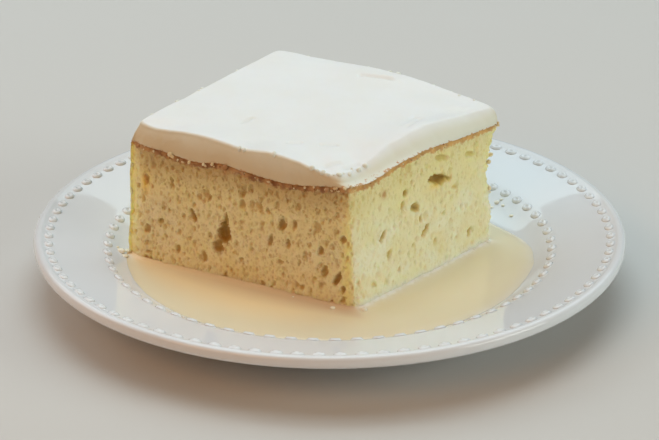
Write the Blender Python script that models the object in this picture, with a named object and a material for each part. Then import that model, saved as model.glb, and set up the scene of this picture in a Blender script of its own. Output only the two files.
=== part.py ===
# A square of tres leches cake: an open-crumbed milk-soaked sponge under whipped cream, standing in a
# pool of milk on a white dessert plate with two rows of pearl beads. Metres, +Z up. The origin is the
# centre of the plate's foot ring, which stands on z = 0. The slice shows its front corner towards -Y.

import math
import random

import bmesh
import bpy
from mathutils import Matrix, Vector, noise

MM = 0.001
GAP = 0.3 * MM

# Plate
PLATE_RADIUS = 100 * MM
PLATE_HEIGHT = 20 * MM
PLATE_STEPS = 64
WELL_FLAT_RADIUS = 60 * MM
FLOOR_TOP = 9.3 * MM
FLOOR_UNDERSIDE = 4.8 * MM
# Knots of the glazed upper face: radius, height and slope
PLATE_KNOTS = (
    (WELL_FLAT_RADIUS, FLOOR_TOP, 0.0),
    (71 * MM, 12.0 * MM, 0.55),
    (77.5 * MM, 15.2 * MM, 0.22),
    (96 * MM, 19.1 * MM, 0.22),
)
PLATE_TOP_RADII = (60, 64, 68, 71, 73.2, 77.3, 85, 93, 97)
PLATE_UNDERSIDE_RADII = (92, 78, 68)
RIM_THICKNESS = 3.8 * MM
LIP_HALF_WIDTH = 1.9 * MM
LIP_HALF_HEIGHT = 2.1 * MM
LIP_SQUARENESS = 2.5
LIP_POINTS = 6
# Degrees of the lip's first and last point, from outwards level
LIP_ARC = (115, -90)
FOOT_OUTER = 58.5 * MM
FOOT_INNER = 53.5 * MM
FOOT_EDGE = 0.7 * MM
FOOT_FLARE = 1.6 * MM

# Pearl beads: row radius, number in the row
BEAD_ROWS = ((75.2 * MM, 67), (95.0 * MM, 88))
BEAD_SIDES = 6
BEAD_HALF_WIDTH = 1.7 * MM
BEAD_HALF_LENGTH = 2.3 * MM
BEAD_RISE = 0.6 * MM
BEAD_SUNK = 0.5 * MM
BEAD_TAPER = 0.5

# Milk
MILK_LEVEL = 11.3 * MM
MILK_EDGE_THICKNESS = 0.25 * MM
# Steps of the milk's underside from its edge in to the flat of the well
MILK_EDGE_SHARES = (0.0, 0.35, 0.7, 1.0)

# Slice. Corners run left, front, right, back, as seen from -Y
BASE_CORNERS = ((-68.3, -2.0), (9.4, -46.3), (55.2, 9.6), (-21.0, 53.5))
CRUST_CORNERS = ((-67.7, -1.2), (6.8, -45.6), (57.6, 9.8), (-18.8, 57.0))
CREAM_CORNERS = ((-64.6, 0.2), (3.6, -43.2), (57.2, 9.4), (-18.2, 57.6))
CRUST_HEIGHTS = (52.0, 54.8, 54.6, 55.6)
CREAM_HEIGHTS = (59.4, 59.8, 60.4, 63.2)
# How far each side bows outwards at its middle, from the left-front side round
SIDE_BOWS = (0.4, 0.6, 3.2, 0.2)
CORNER_ROUND = 2.6
CORNER_EASE = 2.6
# Swells and dips along a side: side, place along it, height, reach as a share of the side
CRUST_SWELLS = ((0, 0.30, -1.6, 0.14), (0, 0.70, -3.2, 0.22), (1, 0.58, 1.8, 0.35))
CREAM_SWELLS = (
    (0, 0.08, -1.2, 0.08),
    (0, 0.30, 0.6, 0.10),
    (0, 0.53, -0.9, 0.08),
    (0, 0.92, -2.4, 0.14),
    (1, 0.12, -0.6, 0.10),
    (1, 0.60, 2.9, 0.24),
    (2, 0.45, 2.0, 0.25),
)
SIDE_STATIONS = (18, 15, 18, 15)
WALL_LEVELS = 8
CREAM_LEVELS = 3
CREAM_EDGE_ROUND = 1.6
CREAM_OVERHANG = 0.3
WALL_ROUGHNESS = 0.45
CREAM_ROUGHNESS = 0.35
# Frequency and height of the waves that make a wall uneven
ROUGH_WAVES = ((0.11, 1.3), (0.34, 0.5))
CAP_RINGS = (0.87, 0.45)

# The larger pores of the two front sides, in mm: place along the side from its left end, height above
# the plate, width, height, depth and how far the top leans along the side
LEFT_PORES = (
    (40.0, 23.5, 2.2, 6.0, 2.4, 0.0),
    (38.9, 18.0, 5.6, 8.4, 4.4, 0.0),
    (37.0, 13.5, 4.2, 6.4, 3.0, 0.0),
    (27.0, 22.0, 2.8, 5.4, 2.4, -1.2),
    (14.0, 17.5, 3.2, 2.6, 1.6, 0.0),
    (30.5, 27.0, 3.0, 2.6, 1.6, 0.0),
    (31.5, 8.5, 2.6, 4.8, 1.6, 0.0),
    (21.5, 9.0, 2.4, 4.0, 1.4, 0.0),
    (64.0, 30.0, 3.4, 3.0, 1.9, 0.0),
    (75.5, 32.5, 2.6, 4.0, 1.8, 0.0),
    (59.0, 24.0, 2.4, 2.8, 1.6, 0.0),
    (83.0, 12.0, 3.0, 4.8, 2.4, 0.0),
)
RIGHT_PORES = (
    (42.5, 35.0, 11.0, 3.4, 4.2, 0.0),
    (29.5, 28.5, 4.2, 2.6, 2.2, 0.0),
    (13.0, 24.0, 2.8, 3.6, 1.8, 1.0),
    (35.0, 19.0, 2.6, 4.2, 1.8, 0.8),
    (33.0, 23.5, 3.0, 2.8, 1.5, 0.0),
    (16.5, 16.5, 2.0, 4.4, 1.4, 0.6),
    (59.5, 9.0, 2.6, 3.4, 1.6, 0.0),
)
# Smaller pores are drawn at random over all four sides
SMALL_PORE_COUNTS = (22, 13, 20, 17)
SMALL_PORE_WIDTHS = (1.6, 2.7)
SMALL_PORE_DEPTHS = (0.45, 0.7)
PORE_TOP = 38.0
PORE_STRETCH = (0.95, 1.7)
PORE_SPACING = 1.2
PORE_MARGIN = 2.4
PORE_LEAN = 0.5
# Pores wider or taller than this get a rounder cutter
LARGE_PORE = 4.6
PORE_SEED = 11


def clear_scene():
    for obj in list(bpy.data.objects):
        bpy.data.objects.remove(obj, do_unlink=True)


def material(name, colour, roughness):
    made = bpy.data.materials.new(name)
    made.use_nodes = True
    shader = made.node_tree.nodes["Principled BSDF"]
    shader.inputs["Base Color"].default_value = (*colour, 1.0)
    shader.inputs["Roughness"].default_value = roughness
    shader.inputs["Metallic"].default_value = 0.0
    return made


def object_from(bm, name, surface=None):
    """Turns a bmesh into an object of the scene, with its faces pointing out."""
    bmesh.ops.recalc_face_normals(bm, faces=bm.faces)
    mesh = bpy.data.meshes.new(name)
    bm.to_mesh(mesh)
    bm.free()
    obj = bpy.data.objects.new(name, mesh)
    bpy.context.scene.collection.objects.link(obj)
    if surface:
        mesh.materials.append(surface)
    return obj


def apply_boolean(target, other, operation, crosses_itself=False):
    """Joins or cuts with another object, keeps the result and removes the other object."""
    modifier = target.modifiers.new(operation.lower(), "BOOLEAN")
    modifier.operation = operation
    modifier.object = other
    modifier.use_self = crosses_itself
    bpy.context.view_layer.update()
    graph = bpy.context.evaluated_depsgraph_get()
    result = bpy.data.meshes.new_from_object(target.evaluated_get(graph))
    target.modifiers.clear()
    result.name = target.data.name
    target.data = result
    bpy.data.objects.remove(other, do_unlink=True)


def hermite(t, start, end, start_slope, end_slope):
    """Cubic between two values with given slopes at its ends, at t from 0 to 1."""
    return (
        start * (2 * t**3 - 3 * t**2 + 1)
        + start_slope * (t**3 - 2 * t**2 + t)
        + end * (3 * t**2 - 2 * t**3)
        + end_slope * (t**3 - t**2)
    )


def plate_top(radius):
    """Height of the plate's upper face at this radius."""
    if radius <= WELL_FLAT_RADIUS:
        return FLOOR_TOP
    for (r0, z0, s0), (r1, z1, s1) in zip(PLATE_KNOTS, PLATE_KNOTS[1:]):
        if radius <= r1:
            span = r1 - r0
            return hermite((radius - r0) / span, z0, z1, s0 * span, s1 * span)
    return PLATE_KNOTS[-1][1]


def plate_slope(radius):
    step = 0.1 * MM
    return (plate_top(radius + step) - plate_top(radius - step)) / (2 * step)


def lip_points(count):
    """Points round the rolled lip, from its top over the outside to its underside."""
    centre_r, centre_z = PLATE_RADIUS - LIP_HALF_WIDTH, PLATE_HEIGHT - LIP_HALF_HEIGHT
    points = []
    for i in range(count):
        angle = math.radians(LIP_ARC[0] + (LIP_ARC[1] - LIP_ARC[0]) * i / (count - 1))
        across, up = math.cos(angle), math.sin(angle)
        power = 2 / LIP_SQUARENESS
        points.append(
            (
                centre_r + LIP_HALF_WIDTH * math.copysign(abs(across) ** power, across),
                centre_z + LIP_HALF_HEIGHT * math.copysign(abs(up) ** power, up),
            )
        )
    return points


def plate_profile():
    """Half section of the plate, from the middle of its upper face round to the middle of its underside."""
    profile = [(0.0, FLOOR_TOP)]
    profile += [(r * MM, plate_top(r * MM)) for r in PLATE_TOP_RADII]
    profile += lip_points(LIP_POINTS)
    profile += [(r * MM, plate_top(r * MM) - RIM_THICKNESS) for r in PLATE_UNDERSIDE_RADII]
    profile += [
        (FOOT_OUTER + FOOT_FLARE, FLOOR_UNDERSIDE - FOOT_EDGE),
        (FOOT_OUTER, FOOT_EDGE),
        (FOOT_OUTER - FOOT_EDGE, 0.0),
        (FOOT_INNER + FOOT_EDGE, 0.0),
        (FOOT_INNER, FOOT_EDGE),
        (FOOT_INNER - FOOT_FLARE, FLOOR_UNDERSIDE),
        (0.0, FLOOR_UNDERSIDE),
    ]
    return profile


def turned(name, profile, steps, surface=None):
    """Solid of revolution round Z from a half section that starts and ends on the axis."""
    bm = bmesh.new()
    verts = [bm.verts.new((r, 0.0, z)) for r, z in profile]
    edges = [bm.edges.new(pair) for pair in zip(verts, verts[1:])]
    bmesh.ops.spin(
        bm,
        geom=verts + edges,
        cent=(0, 0, 0),
        axis=(0, 0, 1),
        angle=2 * math.pi,
        steps=steps,
        use_merge=True,
    )
    bmesh.ops.remove_doubles(bm, verts=bm.verts, dist=0.01 * MM)
    return object_from(bm, name, surface)


def bead_row(bm, row_radius, count):
    """One row of oval pearls, each half sunk in the plate and tilted with its face."""
    tilt = Matrix.Rotation(-math.atan(plate_slope(row_radius)), 4, "Y")
    size = Matrix.Diagonal((BEAD_HALF_WIDTH, BEAD_HALF_LENGTH, 1, 1))
    middle = plate_top(row_radius) + (BEAD_RISE - BEAD_SUNK) / 2
    for i in range(count):
        turn = Matrix.Rotation(2 * math.pi * (i + 0.5) / count, 4, "Z")
        place = Matrix.Translation((row_radius, 0, middle))
        bmesh.ops.create_cone(
            bm,
            cap_ends=True,
            segments=BEAD_SIDES,
            radius1=1.0,
            radius2=BEAD_TAPER,
            depth=BEAD_RISE + BEAD_SUNK,
            matrix=turn @ place @ tilt @ size,
        )


def make_plate():
    plate = turned("plate", plate_profile(), PLATE_STEPS, material("porcelain", (0.86, 0.86, 0.85), 0.12))
    bm = bmesh.new()
    for row_radius, count in BEAD_ROWS:
        bead_row(bm, row_radius, count)
    apply_boolean(plate, object_from(bm, "beads"), "UNION")
    return plate


def bow(side, t):
    return SIDE_BOWS[side] * math.sin(math.pi * t)


def swell(swells, side, t):
    """Height that the swells and dips add at a place along a side."""
    return sum(
        height * math.exp(-(((t - place) / reach) ** 2))
        for at, place, height, reach in swells
        if at == side
    )


def stations():
    """The (side, t) places of the points round the slice. t 0 and 1 are the corners."""
    return [(side, (i + 0.5) / count) for side, count in enumerate(SIDE_STATIONS) for i in range(count)]


def outline_point(corners, side, t):
    """Point of the slice's outline in mm, its corners rounded and its sides bowed."""
    start = Vector(corners[side])
    end = Vector(corners[(side + 1) % 4])
    along = (end - start).normalized()
    outward = Vector((along.y, -along.x))
    length = (end - start).length
    run = t * length
    point = start.lerp(end, t) + outward * bow(side, t)
    near = min(run, length - run)
    if near < CORNER_ROUND:
        # A corner's points are drawn in towards the arc that rounds it
        point -= outward * (CORNER_ROUND - near) ** 2 / (CORNER_EASE * CORNER_ROUND)
    return point


def lerp_corners(first, second, share):
    return [Vector(a).lerp(Vector(b), share) for a, b in zip(first, second)]


def corner_blend(values, side, t):
    return values[side] * (1 - t) + values[(side + 1) % 4] * t


def crust_height(side, t):
    return corner_blend(CRUST_HEIGHTS, side, t) + swell(CRUST_SWELLS, side, t)


def cream_height(side, t):
    return corner_blend(CREAM_HEIGHTS, side, t) + swell(CREAM_SWELLS, side, t)


def base_height(x, y):
    """Underside of the soaked slice in mm: it lies on the plate, and rides up the wall of the well."""
    return (plate_top(math.hypot(x, y) * MM) + GAP) / MM


def roughen(point, outward, amount):
    """Moves a wall point in or out by smooth noise, as a knife leaves soft cake."""
    shift = sum(height * noise.noise(point * frequency) for frequency, height in ROUGH_WAVES)
    return point + outward * amount * shift


def centre_of(corners):
    return sum((Vector(c) for c in corners), Vector((0, 0))) / 4


def wall_ring(corners, heights, amount):
    """Loop of points round the slice at the given heights, roughened outwards and inwards."""
    centre = centre_of(corners)
    ring = []
    for (side, t), z in zip(stations(), heights):
        flat = outline_point(corners, side, t)
        outward = (flat - centre).normalized().to_3d()
        ring.append(roughen(Vector((flat.x, flat.y, z)), outward, amount))
    return ring


def cap_rings(ring):
    """Smaller copies of a ring that close its top or bottom, levelling out towards the middle."""
    centre = sum(ring, Vector()) / len(ring)
    return [[centre.lerp(p, scale) for p in ring] for scale in CAP_RINGS], centre


def loft(name, bottom, rings, top, surface):
    """Solid through rings of equal count, stacked upwards and closed at a point below and above."""
    bm = bmesh.new()
    rows = [[bm.verts.new(p * MM) for p in ring] for ring in rings]
    count = len(rows[0])
    for low, high in zip(rows, rows[1:]):
        for i in range(count):
            j = (i + 1) % count
            bm.faces.new((low[i], low[j], high[j], high[i]))
    for row, point in ((rows[0], bottom), (rows[-1], top)):
        pole = bm.verts.new(point * MM)
        for i in range(count):
            bm.faces.new((row[i], row[(i + 1) % count], pole))
    return object_from(bm, name, surface)


def crust_ring(lift):
    heights = [crust_height(side, t) + lift for side, t in stations()]
    return wall_ring(CRUST_CORNERS, heights, WALL_ROUGHNESS)


def sponge_rings():
    """Rings up the wall of the sponge, from the plate to the browned top."""
    rings = []
    for level in range(WALL_LEVELS):
        share = level / WALL_LEVELS
        corners = lerp_corners(BASE_CORNERS, CRUST_CORNERS, share)
        heights = []
        for side, t in stations():
            base = base_height(*outline_point(BASE_CORNERS, side, t))
            heights.append(base + (crust_height(side, t) - base) * share)
        rings.append(wall_ring(corners, heights, WALL_ROUGHNESS))
    return rings + [crust_ring(0.0)]


def on_plate(ring):
    return [Vector((p.x, p.y, base_height(p.x, p.y))) for p in ring]


def wall_place(side, along, up):
    """Point, run direction and outward direction of a side, at mm along it and mm above the plate."""
    share = up / (crust_height(side, 0.5) - FLOOR_TOP / MM)
    corners = lerp_corners(BASE_CORNERS, CRUST_CORNERS, share)
    start, end = corners[side], corners[(side + 1) % 4]
    run = (end - start).normalized()
    flat = outline_point(corners, side, along / (end - start).length)
    outward = Vector((run.y, -run.x))
    centre = centre_of(corners)
    shifted = roughen(
        Vector((flat.x, flat.y, FLOOR_TOP / MM + up)), (flat - centre).normalized().to_3d(), WALL_ROUGHNESS
    )
    return shifted, run.to_3d(), outward.to_3d()


def side_length(side):
    return (Vector(CRUST_CORNERS[(side + 1) % 4]) - Vector(CRUST_CORNERS[side])).length


def clear_of(placed, pore):
    """Whether a pore keeps its distance from those already placed on its side."""
    for other in placed:
        wide = PORE_SPACING * (pore[2] + other[2]) / 2
        high = PORE_SPACING * (pore[3] + other[3]) / 2
        if abs(pore[0] - other[0]) < wide and abs(pore[1] - other[1]) < high:
            return False
    return True


def side_pores():
    """All pores as (side, along, up, width, height, depth, lean), the large ones first."""
    draw = random.Random(PORE_SEED)
    pores = []
    for side, wanted in enumerate(SMALL_PORE_COUNTS):
        placed = list((LEFT_PORES, RIGHT_PORES, (), ())[side])
        target = len(placed) + wanted
        while len(placed) < target:
            width = draw.uniform(*SMALL_PORE_WIDTHS)
            high = width * draw.uniform(*PORE_STRETCH)
            along = draw.uniform(PORE_MARGIN + width, side_length(side) - PORE_MARGIN - width)
            up = draw.uniform(PORE_MARGIN + high, PORE_TOP - high / 2)
            depth = width * draw.uniform(*SMALL_PORE_DEPTHS)
            pore = (along, up, width, high, depth, draw.uniform(-PORE_LEAN, PORE_LEAN))
            if clear_of(placed, pore):
                placed.append(pore)
        pores += [(side, *pore) for pore in placed]
    return pores


def pore_cutter():
    """One mesh of ragged little hollows, centred on the walls."""
    bm = bmesh.new()
    for side, along, up, width, high, depth, lean in side_pores():
        point, run, outward = wall_place(side, along, up)
        upright = Vector((0, 0, high / 2)) + run * lean
        axes = Matrix((run * (width / 2), outward * depth, upright)).transposed().to_4x4()
        bmesh.ops.create_icosphere(
            bm,
            subdivisions=2 if max(width, high) > LARGE_PORE else 1,
            radius=MM,
            matrix=Matrix.Translation(point * MM) @ axes,
        )
    return object_from(bm, "pores")


def make_sponge():
    rings = sponge_rings()
    bottom, bottom_centre = cap_rings(rings[0])
    top, top_centre = cap_rings(rings[-1])
    floor = [on_plate(ring) for ring in [*reversed(bottom), rings[0]]]
    bottom_centre.z = base_height(bottom_centre.x, bottom_centre.y)
    sponge = loft(
        "sponge",
        bottom_centre,
        floor + rings[1:] + top,
        top_centre,
        material("soaked_sponge", (0.80, 0.65, 0.36), 0.75),
    )
    apply_boolean(sponge, pore_cutter(), "DIFFERENCE", crosses_itself=True)
    return sponge


def cream_rings():
    """Rings up the cut side of the cream and round its soft upper edge."""
    low = crust_ring(GAP / MM)
    heights = [cream_height(side, t) - CREAM_EDGE_ROUND for side, t in stations()]
    high = wall_ring(CREAM_CORNERS, heights, CREAM_ROUGHNESS)
    centre = centre_of(CREAM_CORNERS).to_3d()
    rings = [low]
    for level in range(1, CREAM_LEVELS + 1):
        share = level / CREAM_LEVELS
        belly = CREAM_OVERHANG * math.sin(math.pi * share)
        ring = [a.lerp(b, share) for a, b in zip(low, high)]
        rings.append([p + (p - centre).xy.normalized().to_3d() * belly for p in ring])
    for angle in (45, 90):
        inward = CREAM_EDGE_ROUND * (1 - math.cos(math.radians(angle)))
        rise = CREAM_EDGE_ROUND * math.sin(math.radians(angle))
        rings.append(
            [p - (p - centre).xy.normalized().to_3d() * inward + Vector((0, 0, rise)) for p in high]
        )
    return rings


def make_cream():
    rings = cream_rings()
    bottom, bottom_centre = cap_rings(rings[0])
    top, top_centre = cap_rings(rings[-1])
    return loft(
        "whipped_cream",
        bottom_centre,
        [*reversed(bottom)] + rings + top,
        top_centre,
        material("whipped_cream", (0.88, 0.88, 0.85), 0.55),
    )


def milk_radius(clearance):
    """Radius at which the plate comes within this clearance of the milk's surface."""
    radius = WELL_FLAT_RADIUS
    while plate_top(radius) + clearance < MILK_LEVEL:
        radius += 0.05 * MM
    return radius


def slice_prism():
    """The slice's foot, a little larger all round, which the milk is cut back from."""
    centre = centre_of(BASE_CORNERS).to_3d()
    low, high = FLOOR_TOP / MM - 1, MILK_LEVEL / MM + 1
    grow = GAP / MM + WALL_ROUGHNESS
    share = (high - FLOOR_TOP / MM) / (CRUST_HEIGHTS[0] - FLOOR_TOP / MM)
    rings = []
    for z, corners in ((low, BASE_CORNERS), (high, lerp_corners(BASE_CORNERS, CRUST_CORNERS, share))):
        ring = wall_ring(corners, [z] * len(stations()), 0.0)
        rings.append([p + (p - centre).xy.normalized().to_3d() * grow for p in ring])
    ends = [sum(ring, Vector()) / len(ring) for ring in rings]
    return loft("slice_prism", ends[0], rings, ends[1], None)


def make_milk():
    edge = milk_radius(GAP + MILK_EDGE_THICKNESS)
    radii = [edge + (WELL_FLAT_RADIUS - edge) * share for share in MILK_EDGE_SHARES]
    profile = [(0.0, MILK_LEVEL), (edge, MILK_LEVEL)]
    profile += [(r, plate_top(r) + GAP) for r in radii]
    profile += [(0.0, FLOOR_TOP + GAP)]
    milk = turned("milk", profile, PLATE_STEPS, material("sweet_milk", (0.80, 0.66, 0.42), 0.1))
    apply_boolean(milk, slice_prism(), "DIFFERENCE")
    return milk


def shade(obj, angle):
    obj.data.shade_smooth()
    obj.data.set_sharp_from_angle(angle=math.radians(angle))


def main():
    clear_scene()
    for obj, sharp_angle in (
        (make_plate(), 35),
        (make_sponge(), 30),
        (make_cream(), 50),
        (make_milk(), 35),
    ):
        shade(obj, sharp_angle)


main()
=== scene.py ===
import math
import random

import bmesh
import bpy
import numpy as np
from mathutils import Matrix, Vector, noise


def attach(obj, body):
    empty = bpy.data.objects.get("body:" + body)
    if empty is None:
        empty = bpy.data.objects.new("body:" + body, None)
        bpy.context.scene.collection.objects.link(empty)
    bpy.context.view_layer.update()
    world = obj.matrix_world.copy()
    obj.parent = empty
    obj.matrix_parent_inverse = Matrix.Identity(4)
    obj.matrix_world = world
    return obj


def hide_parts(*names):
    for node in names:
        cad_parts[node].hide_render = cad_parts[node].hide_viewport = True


mm = 0.001
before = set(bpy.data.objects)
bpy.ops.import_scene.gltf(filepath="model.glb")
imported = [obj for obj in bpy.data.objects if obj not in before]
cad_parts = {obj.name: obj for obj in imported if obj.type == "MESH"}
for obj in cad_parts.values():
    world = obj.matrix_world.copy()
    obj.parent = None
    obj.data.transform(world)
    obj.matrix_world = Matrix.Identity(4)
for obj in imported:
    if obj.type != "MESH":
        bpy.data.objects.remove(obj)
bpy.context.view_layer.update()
print("frame loaded:", ", ".join(sorted(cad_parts)))


# Node helpers, shared by the materials and the Geometry Nodes trees
def addNode(tree, kind, **settings):
    node = tree.nodes.new(kind)
    for name, value in settings.items():
        setattr(node, name, value)
    return node


def feed(tree, socket, value):
    if isinstance(value, bpy.types.NodeSocket):
        tree.links.new(value, socket)  # a socket is linked
    else:
        socket.default_value = value  # a plain value is set


def wired(tree, kind, inputs, **settings):  # a node whose inputs are fed by name or by number
    node = addNode(tree, kind, **settings)
    for key, value in inputs.items():
        feed(tree, node.inputs[key], value)
    return node


def calc(tree, operation, *values):
    return wired(tree, "ShaderNodeMath", dict(enumerate(values)), operation=operation).outputs[0]


def plus(tree, first, second):
    return calc(tree, "ADD", first, second)


def minus(tree, first, second):
    return calc(tree, "SUBTRACT", first, second)


def times(tree, *values):
    product = values[0]
    for value in values[1:]:
        product = calc(tree, "MULTIPLY", product, value)
    return product


def vectorCalc(tree, operation, first, second):
    by = "Scale" if operation == "SCALE" else 1
    node = wired(tree, "ShaderNodeVectorMath", {0: first, by: second}, operation=operation)
    return node.outputs["Vector"]


def vectorOf(tree, x=0.0, y=0.0, z=0.0):
    return wired(tree, "ShaderNodeCombineXYZ", {0: x, 1: y, 2: z}).outputs[0]


def splitUp(tree, vector):
    return wired(tree, "ShaderNodeSeparateXYZ", {0: vector}).outputs


def rise(tree, value, low, high, toLow=0.0, toHigh=1.0):  # a soft step from one value to another
    fed = dict(enumerate((value, low, high, toLow, toHigh)))
    return wired(tree, "ShaderNodeMapRange", fed, interpolation_type="SMOOTHSTEP").outputs[0]


def noiseField(tree, place, scale, detail=3.0, roughness=0.5):
    fed = {"Vector": place, "Scale": scale, "Detail": detail, "Roughness": roughness}
    return wired(tree, "ShaderNodeTexNoise", fed).outputs[0]


def patches(tree, place, pattern):  # soft patches: scale, detail, roughness, then the levels of rise
    scale, detail, roughness, *levels = pattern
    return rise(tree, noiseField(tree, place, scale, detail, roughness), *levels)


def swirled(tree, place, scale, far):  # bends a pattern, so that its cells aren't all alike
    bend = wired(tree, "ShaderNodeTexNoise", {"Vector": place, "Scale": scale, "Detail": 2})
    swirl = vectorCalc(tree, "SUBTRACT", bend.outputs["Color"], (0.5, 0.5, 0.5))
    return vectorCalc(tree, "ADD", place, vectorCalc(tree, "SCALE", swirl, far))


def blend(tree, factor, first, second):
    tones = [t if isinstance(t, bpy.types.NodeSocket) else (*t, 1) for t in (first, second)]
    return wired(tree, "ShaderNodeMix", {0: factor, 6: tones[0], 7: tones[1]}, data_type="RGBA").outputs[2]


def relief(tree, height, strength, depth, under=None):
    fed = {"Strength": strength, "Distance": depth * mm, "Height": height}
    if under is not None:
        fed["Normal"] = under
    return wired(tree, "ShaderNodeBump", fed).outputs[0]


def roughen(tree, place, reliefs, under=None):  # each relief: scale, detail, roughness, strength, depth
    for scale, detail, roughness, strength, depth in reliefs:
        under = relief(tree, noiseField(tree, place, scale, detail, roughness), strength, depth, under)
    return under


def newMaterial(name, finish):
    material = bpy.data.materials.new(name)
    material.use_nodes = True
    tree = material.node_tree
    shader = tree.nodes["Principled BSDF"]
    shader.inputs["IOR"].default_value = finish["ior"]
    if "softDepth" in finish:
        shader.inputs["Subsurface Weight"].default_value = finish["softWeight"]
        shader.inputs["Subsurface Radius"].default_value = finish["softTint"]
        shader.inputs["Subsurface Scale"].default_value = finish["softDepth"] * mm
    return material, tree, addNode(tree, "ShaderNodeTexCoord").outputs["Object"]


def finishMaterial(material, tone, roughness, normal=None):
    tree = material.node_tree
    shader = tree.nodes["Principled BSDF"]
    feed(tree, shader.inputs["Base Color"], tone)
    feed(tree, shader.inputs["Roughness"], roughness)
    if normal is not None:
        feed(tree, shader.inputs["Normal"], normal)
    return material


def readAttribute(tree, name):
    return addNode(tree, "ShaderNodeAttribute", attribute_name=name).outputs["Fac"]


# Geometry Nodes helpers
def newTree(name, inputs):
    tree = bpy.data.node_groups.new(name, "GeometryNodeTree")
    tree.interface.new_socket(name="Geometry", in_out="INPUT", socket_type="NodeSocketGeometry")
    for label, kind in inputs:
        tree.interface.new_socket(name=label, in_out="INPUT", socket_type="NodeSocket" + kind)
    tree.interface.new_socket(name="Geometry", in_out="OUTPUT", socket_type="NodeSocketGeometry")
    return tree, addNode(tree, "NodeGroupInput").outputs, addNode(tree, "NodeGroupOutput").inputs[0]


def herePoint(tree):
    return addNode(tree, "GeometryNodeInputPosition").outputs[0]


def pointValue(tree, name):
    named = wired(tree, "GeometryNodeInputNamedAttribute", {"Name": name}, data_type="FLOAT")
    return named.outputs["Attribute"]


def storeValue(tree, geometry, name, value):
    fed = {"Geometry": geometry, "Name": name, "Value": value}
    return wired(tree, "GeometryNodeStoreNamedAttribute", fed, data_type="FLOAT", domain="POINT").outputs[0]


def pushOut(tree, geometry, distance):  # moves each point along its normal
    normal = addNode(tree, "GeometryNodeInputNormal").outputs[0]
    fed = {"Geometry": geometry, "Offset": vectorCalc(tree, "SCALE", normal, distance)}
    return wired(tree, "GeometryNodeSetPosition", fed).outputs[0]


def finishTree(tree, geometry, material, out):
    realised = wired(tree, "GeometryNodeRealizeInstances", {0: geometry}).outputs[0]
    painted = wired(tree, "GeometryNodeSetMaterial", {"Geometry": realised, "Material": material})
    tree.links.new(painted.outputs[0], out)


def runTree(piece, tree, values):  # the evaluated result becomes the piece's own plain mesh
    modifier = piece.modifiers.new(tree.name, "NODES")
    modifier.node_group = tree
    for item in tree.interface.items_tree:
        if item.in_out == "INPUT" and item.name in values:
            modifier[item.identifier] = values[item.name]
    graph = bpy.context.evaluated_depsgraph_get()
    result = bpy.data.meshes.new_from_object(piece.evaluated_get(graph))
    piece.modifiers.clear()
    for slot in reversed(range(len(result.materials))):
        if result.materials[slot] is None:
            result.materials.pop(index=slot)  # an empty slot left by the tree
    result.name = piece.name
    piece.data = result


# Mesh helpers
def addPiece(name, points, faces, material=None, attributes=None):
    mesh = bpy.data.meshes.new(name)
    mesh.from_pydata((np.asarray(points) * mm).tolist(), [], faces)
    for label, values in (attributes or {}).items():
        held = mesh.attributes.new(label, "FLOAT", "POINT")
        held.data.foreach_set("value", np.asarray(values, dtype=np.float32).ravel())
    if material:
        mesh.materials.append(material)
    piece = bpy.data.objects.new(name, mesh)
    bpy.context.scene.collection.objects.link(piece)
    return piece


def loftFaces(levels, count, lowPole, highPole):  # closed skin through stacked rings and two poles
    index = np.arange(levels * count).reshape(levels, count)
    ahead = np.roll(index, -1, axis=1)
    quads = np.stack([index[:-1], ahead[:-1], ahead[1:], index[1:]], axis=-1).reshape(-1, 4).tolist()
    low = [(b, a, lowPole) for a, b in zip(index[0].tolist(), ahead[0].tolist())]
    high = [(a, b, highPole) for a, b in zip(index[-1].tolist(), ahead[-1].tolist())]
    return quads + low + high


def tidyMesh(piece, joinWithin=0.001):
    bm = bmesh.new()
    bm.from_mesh(piece.data)
    bmesh.ops.remove_doubles(bm, verts=bm.verts, dist=joinWithin * mm)
    bmesh.ops.recalc_face_normals(bm, faces=bm.faces)
    bm.to_mesh(piece.data)
    bm.free()
    piece.data.shade_smooth()


def evenOut(values, passes):  # softens a closed ring of values
    for _ in range(passes):
        values = (np.roll(values, 1, axis=0) + 2 * values + np.roll(values, -1, axis=0)) / 4
    return values


def bell(distance, reach):  # 1 in the middle, falling softly over the reach
    return np.exp(-((distance / reach) ** 2))


def waves(points, pattern):  # pattern: frequency and height of each wave
    return np.array([sum(h * noise.noise(Vector(p) * f) for f, h in pattern) for p in points.tolist()])


def outwards(ring):
    flat = ring - ring.mean(axis=0)
    return flat / np.linalg.norm(flat, axis=-1, keepdims=True)


# Camera at the photograph's angle
view = {
    "imageWidth": 659,  # pixels
    "focalPixels": 3500,
    "shiftPixels": 8.45,
    "elevation": 24.02,
    "distance": 1184.8,
    "aimHeight": 20,
    "sensorWidth": 36,
}


def makeCamera():
    data = bpy.data.cameras.new("camera")
    data.sensor_width = view["sensorWidth"]
    data.lens = data.sensor_width * view["focalPixels"] / view["imageWidth"]
    data.shift_y = view["shiftPixels"] / view["imageWidth"]
    camera = bpy.data.objects.new("camera", data)
    tilt = math.radians(view["elevation"])
    reach = view["distance"] * mm
    camera.location = (0, -reach * math.cos(tilt), view["aimHeight"] * mm + reach * math.sin(tilt))
    camera.rotation_euler = (math.pi / 2 - tilt, 0, 0)
    bpy.context.scene.collection.objects.link(camera)
    bpy.context.scene.camera = camera


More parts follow.
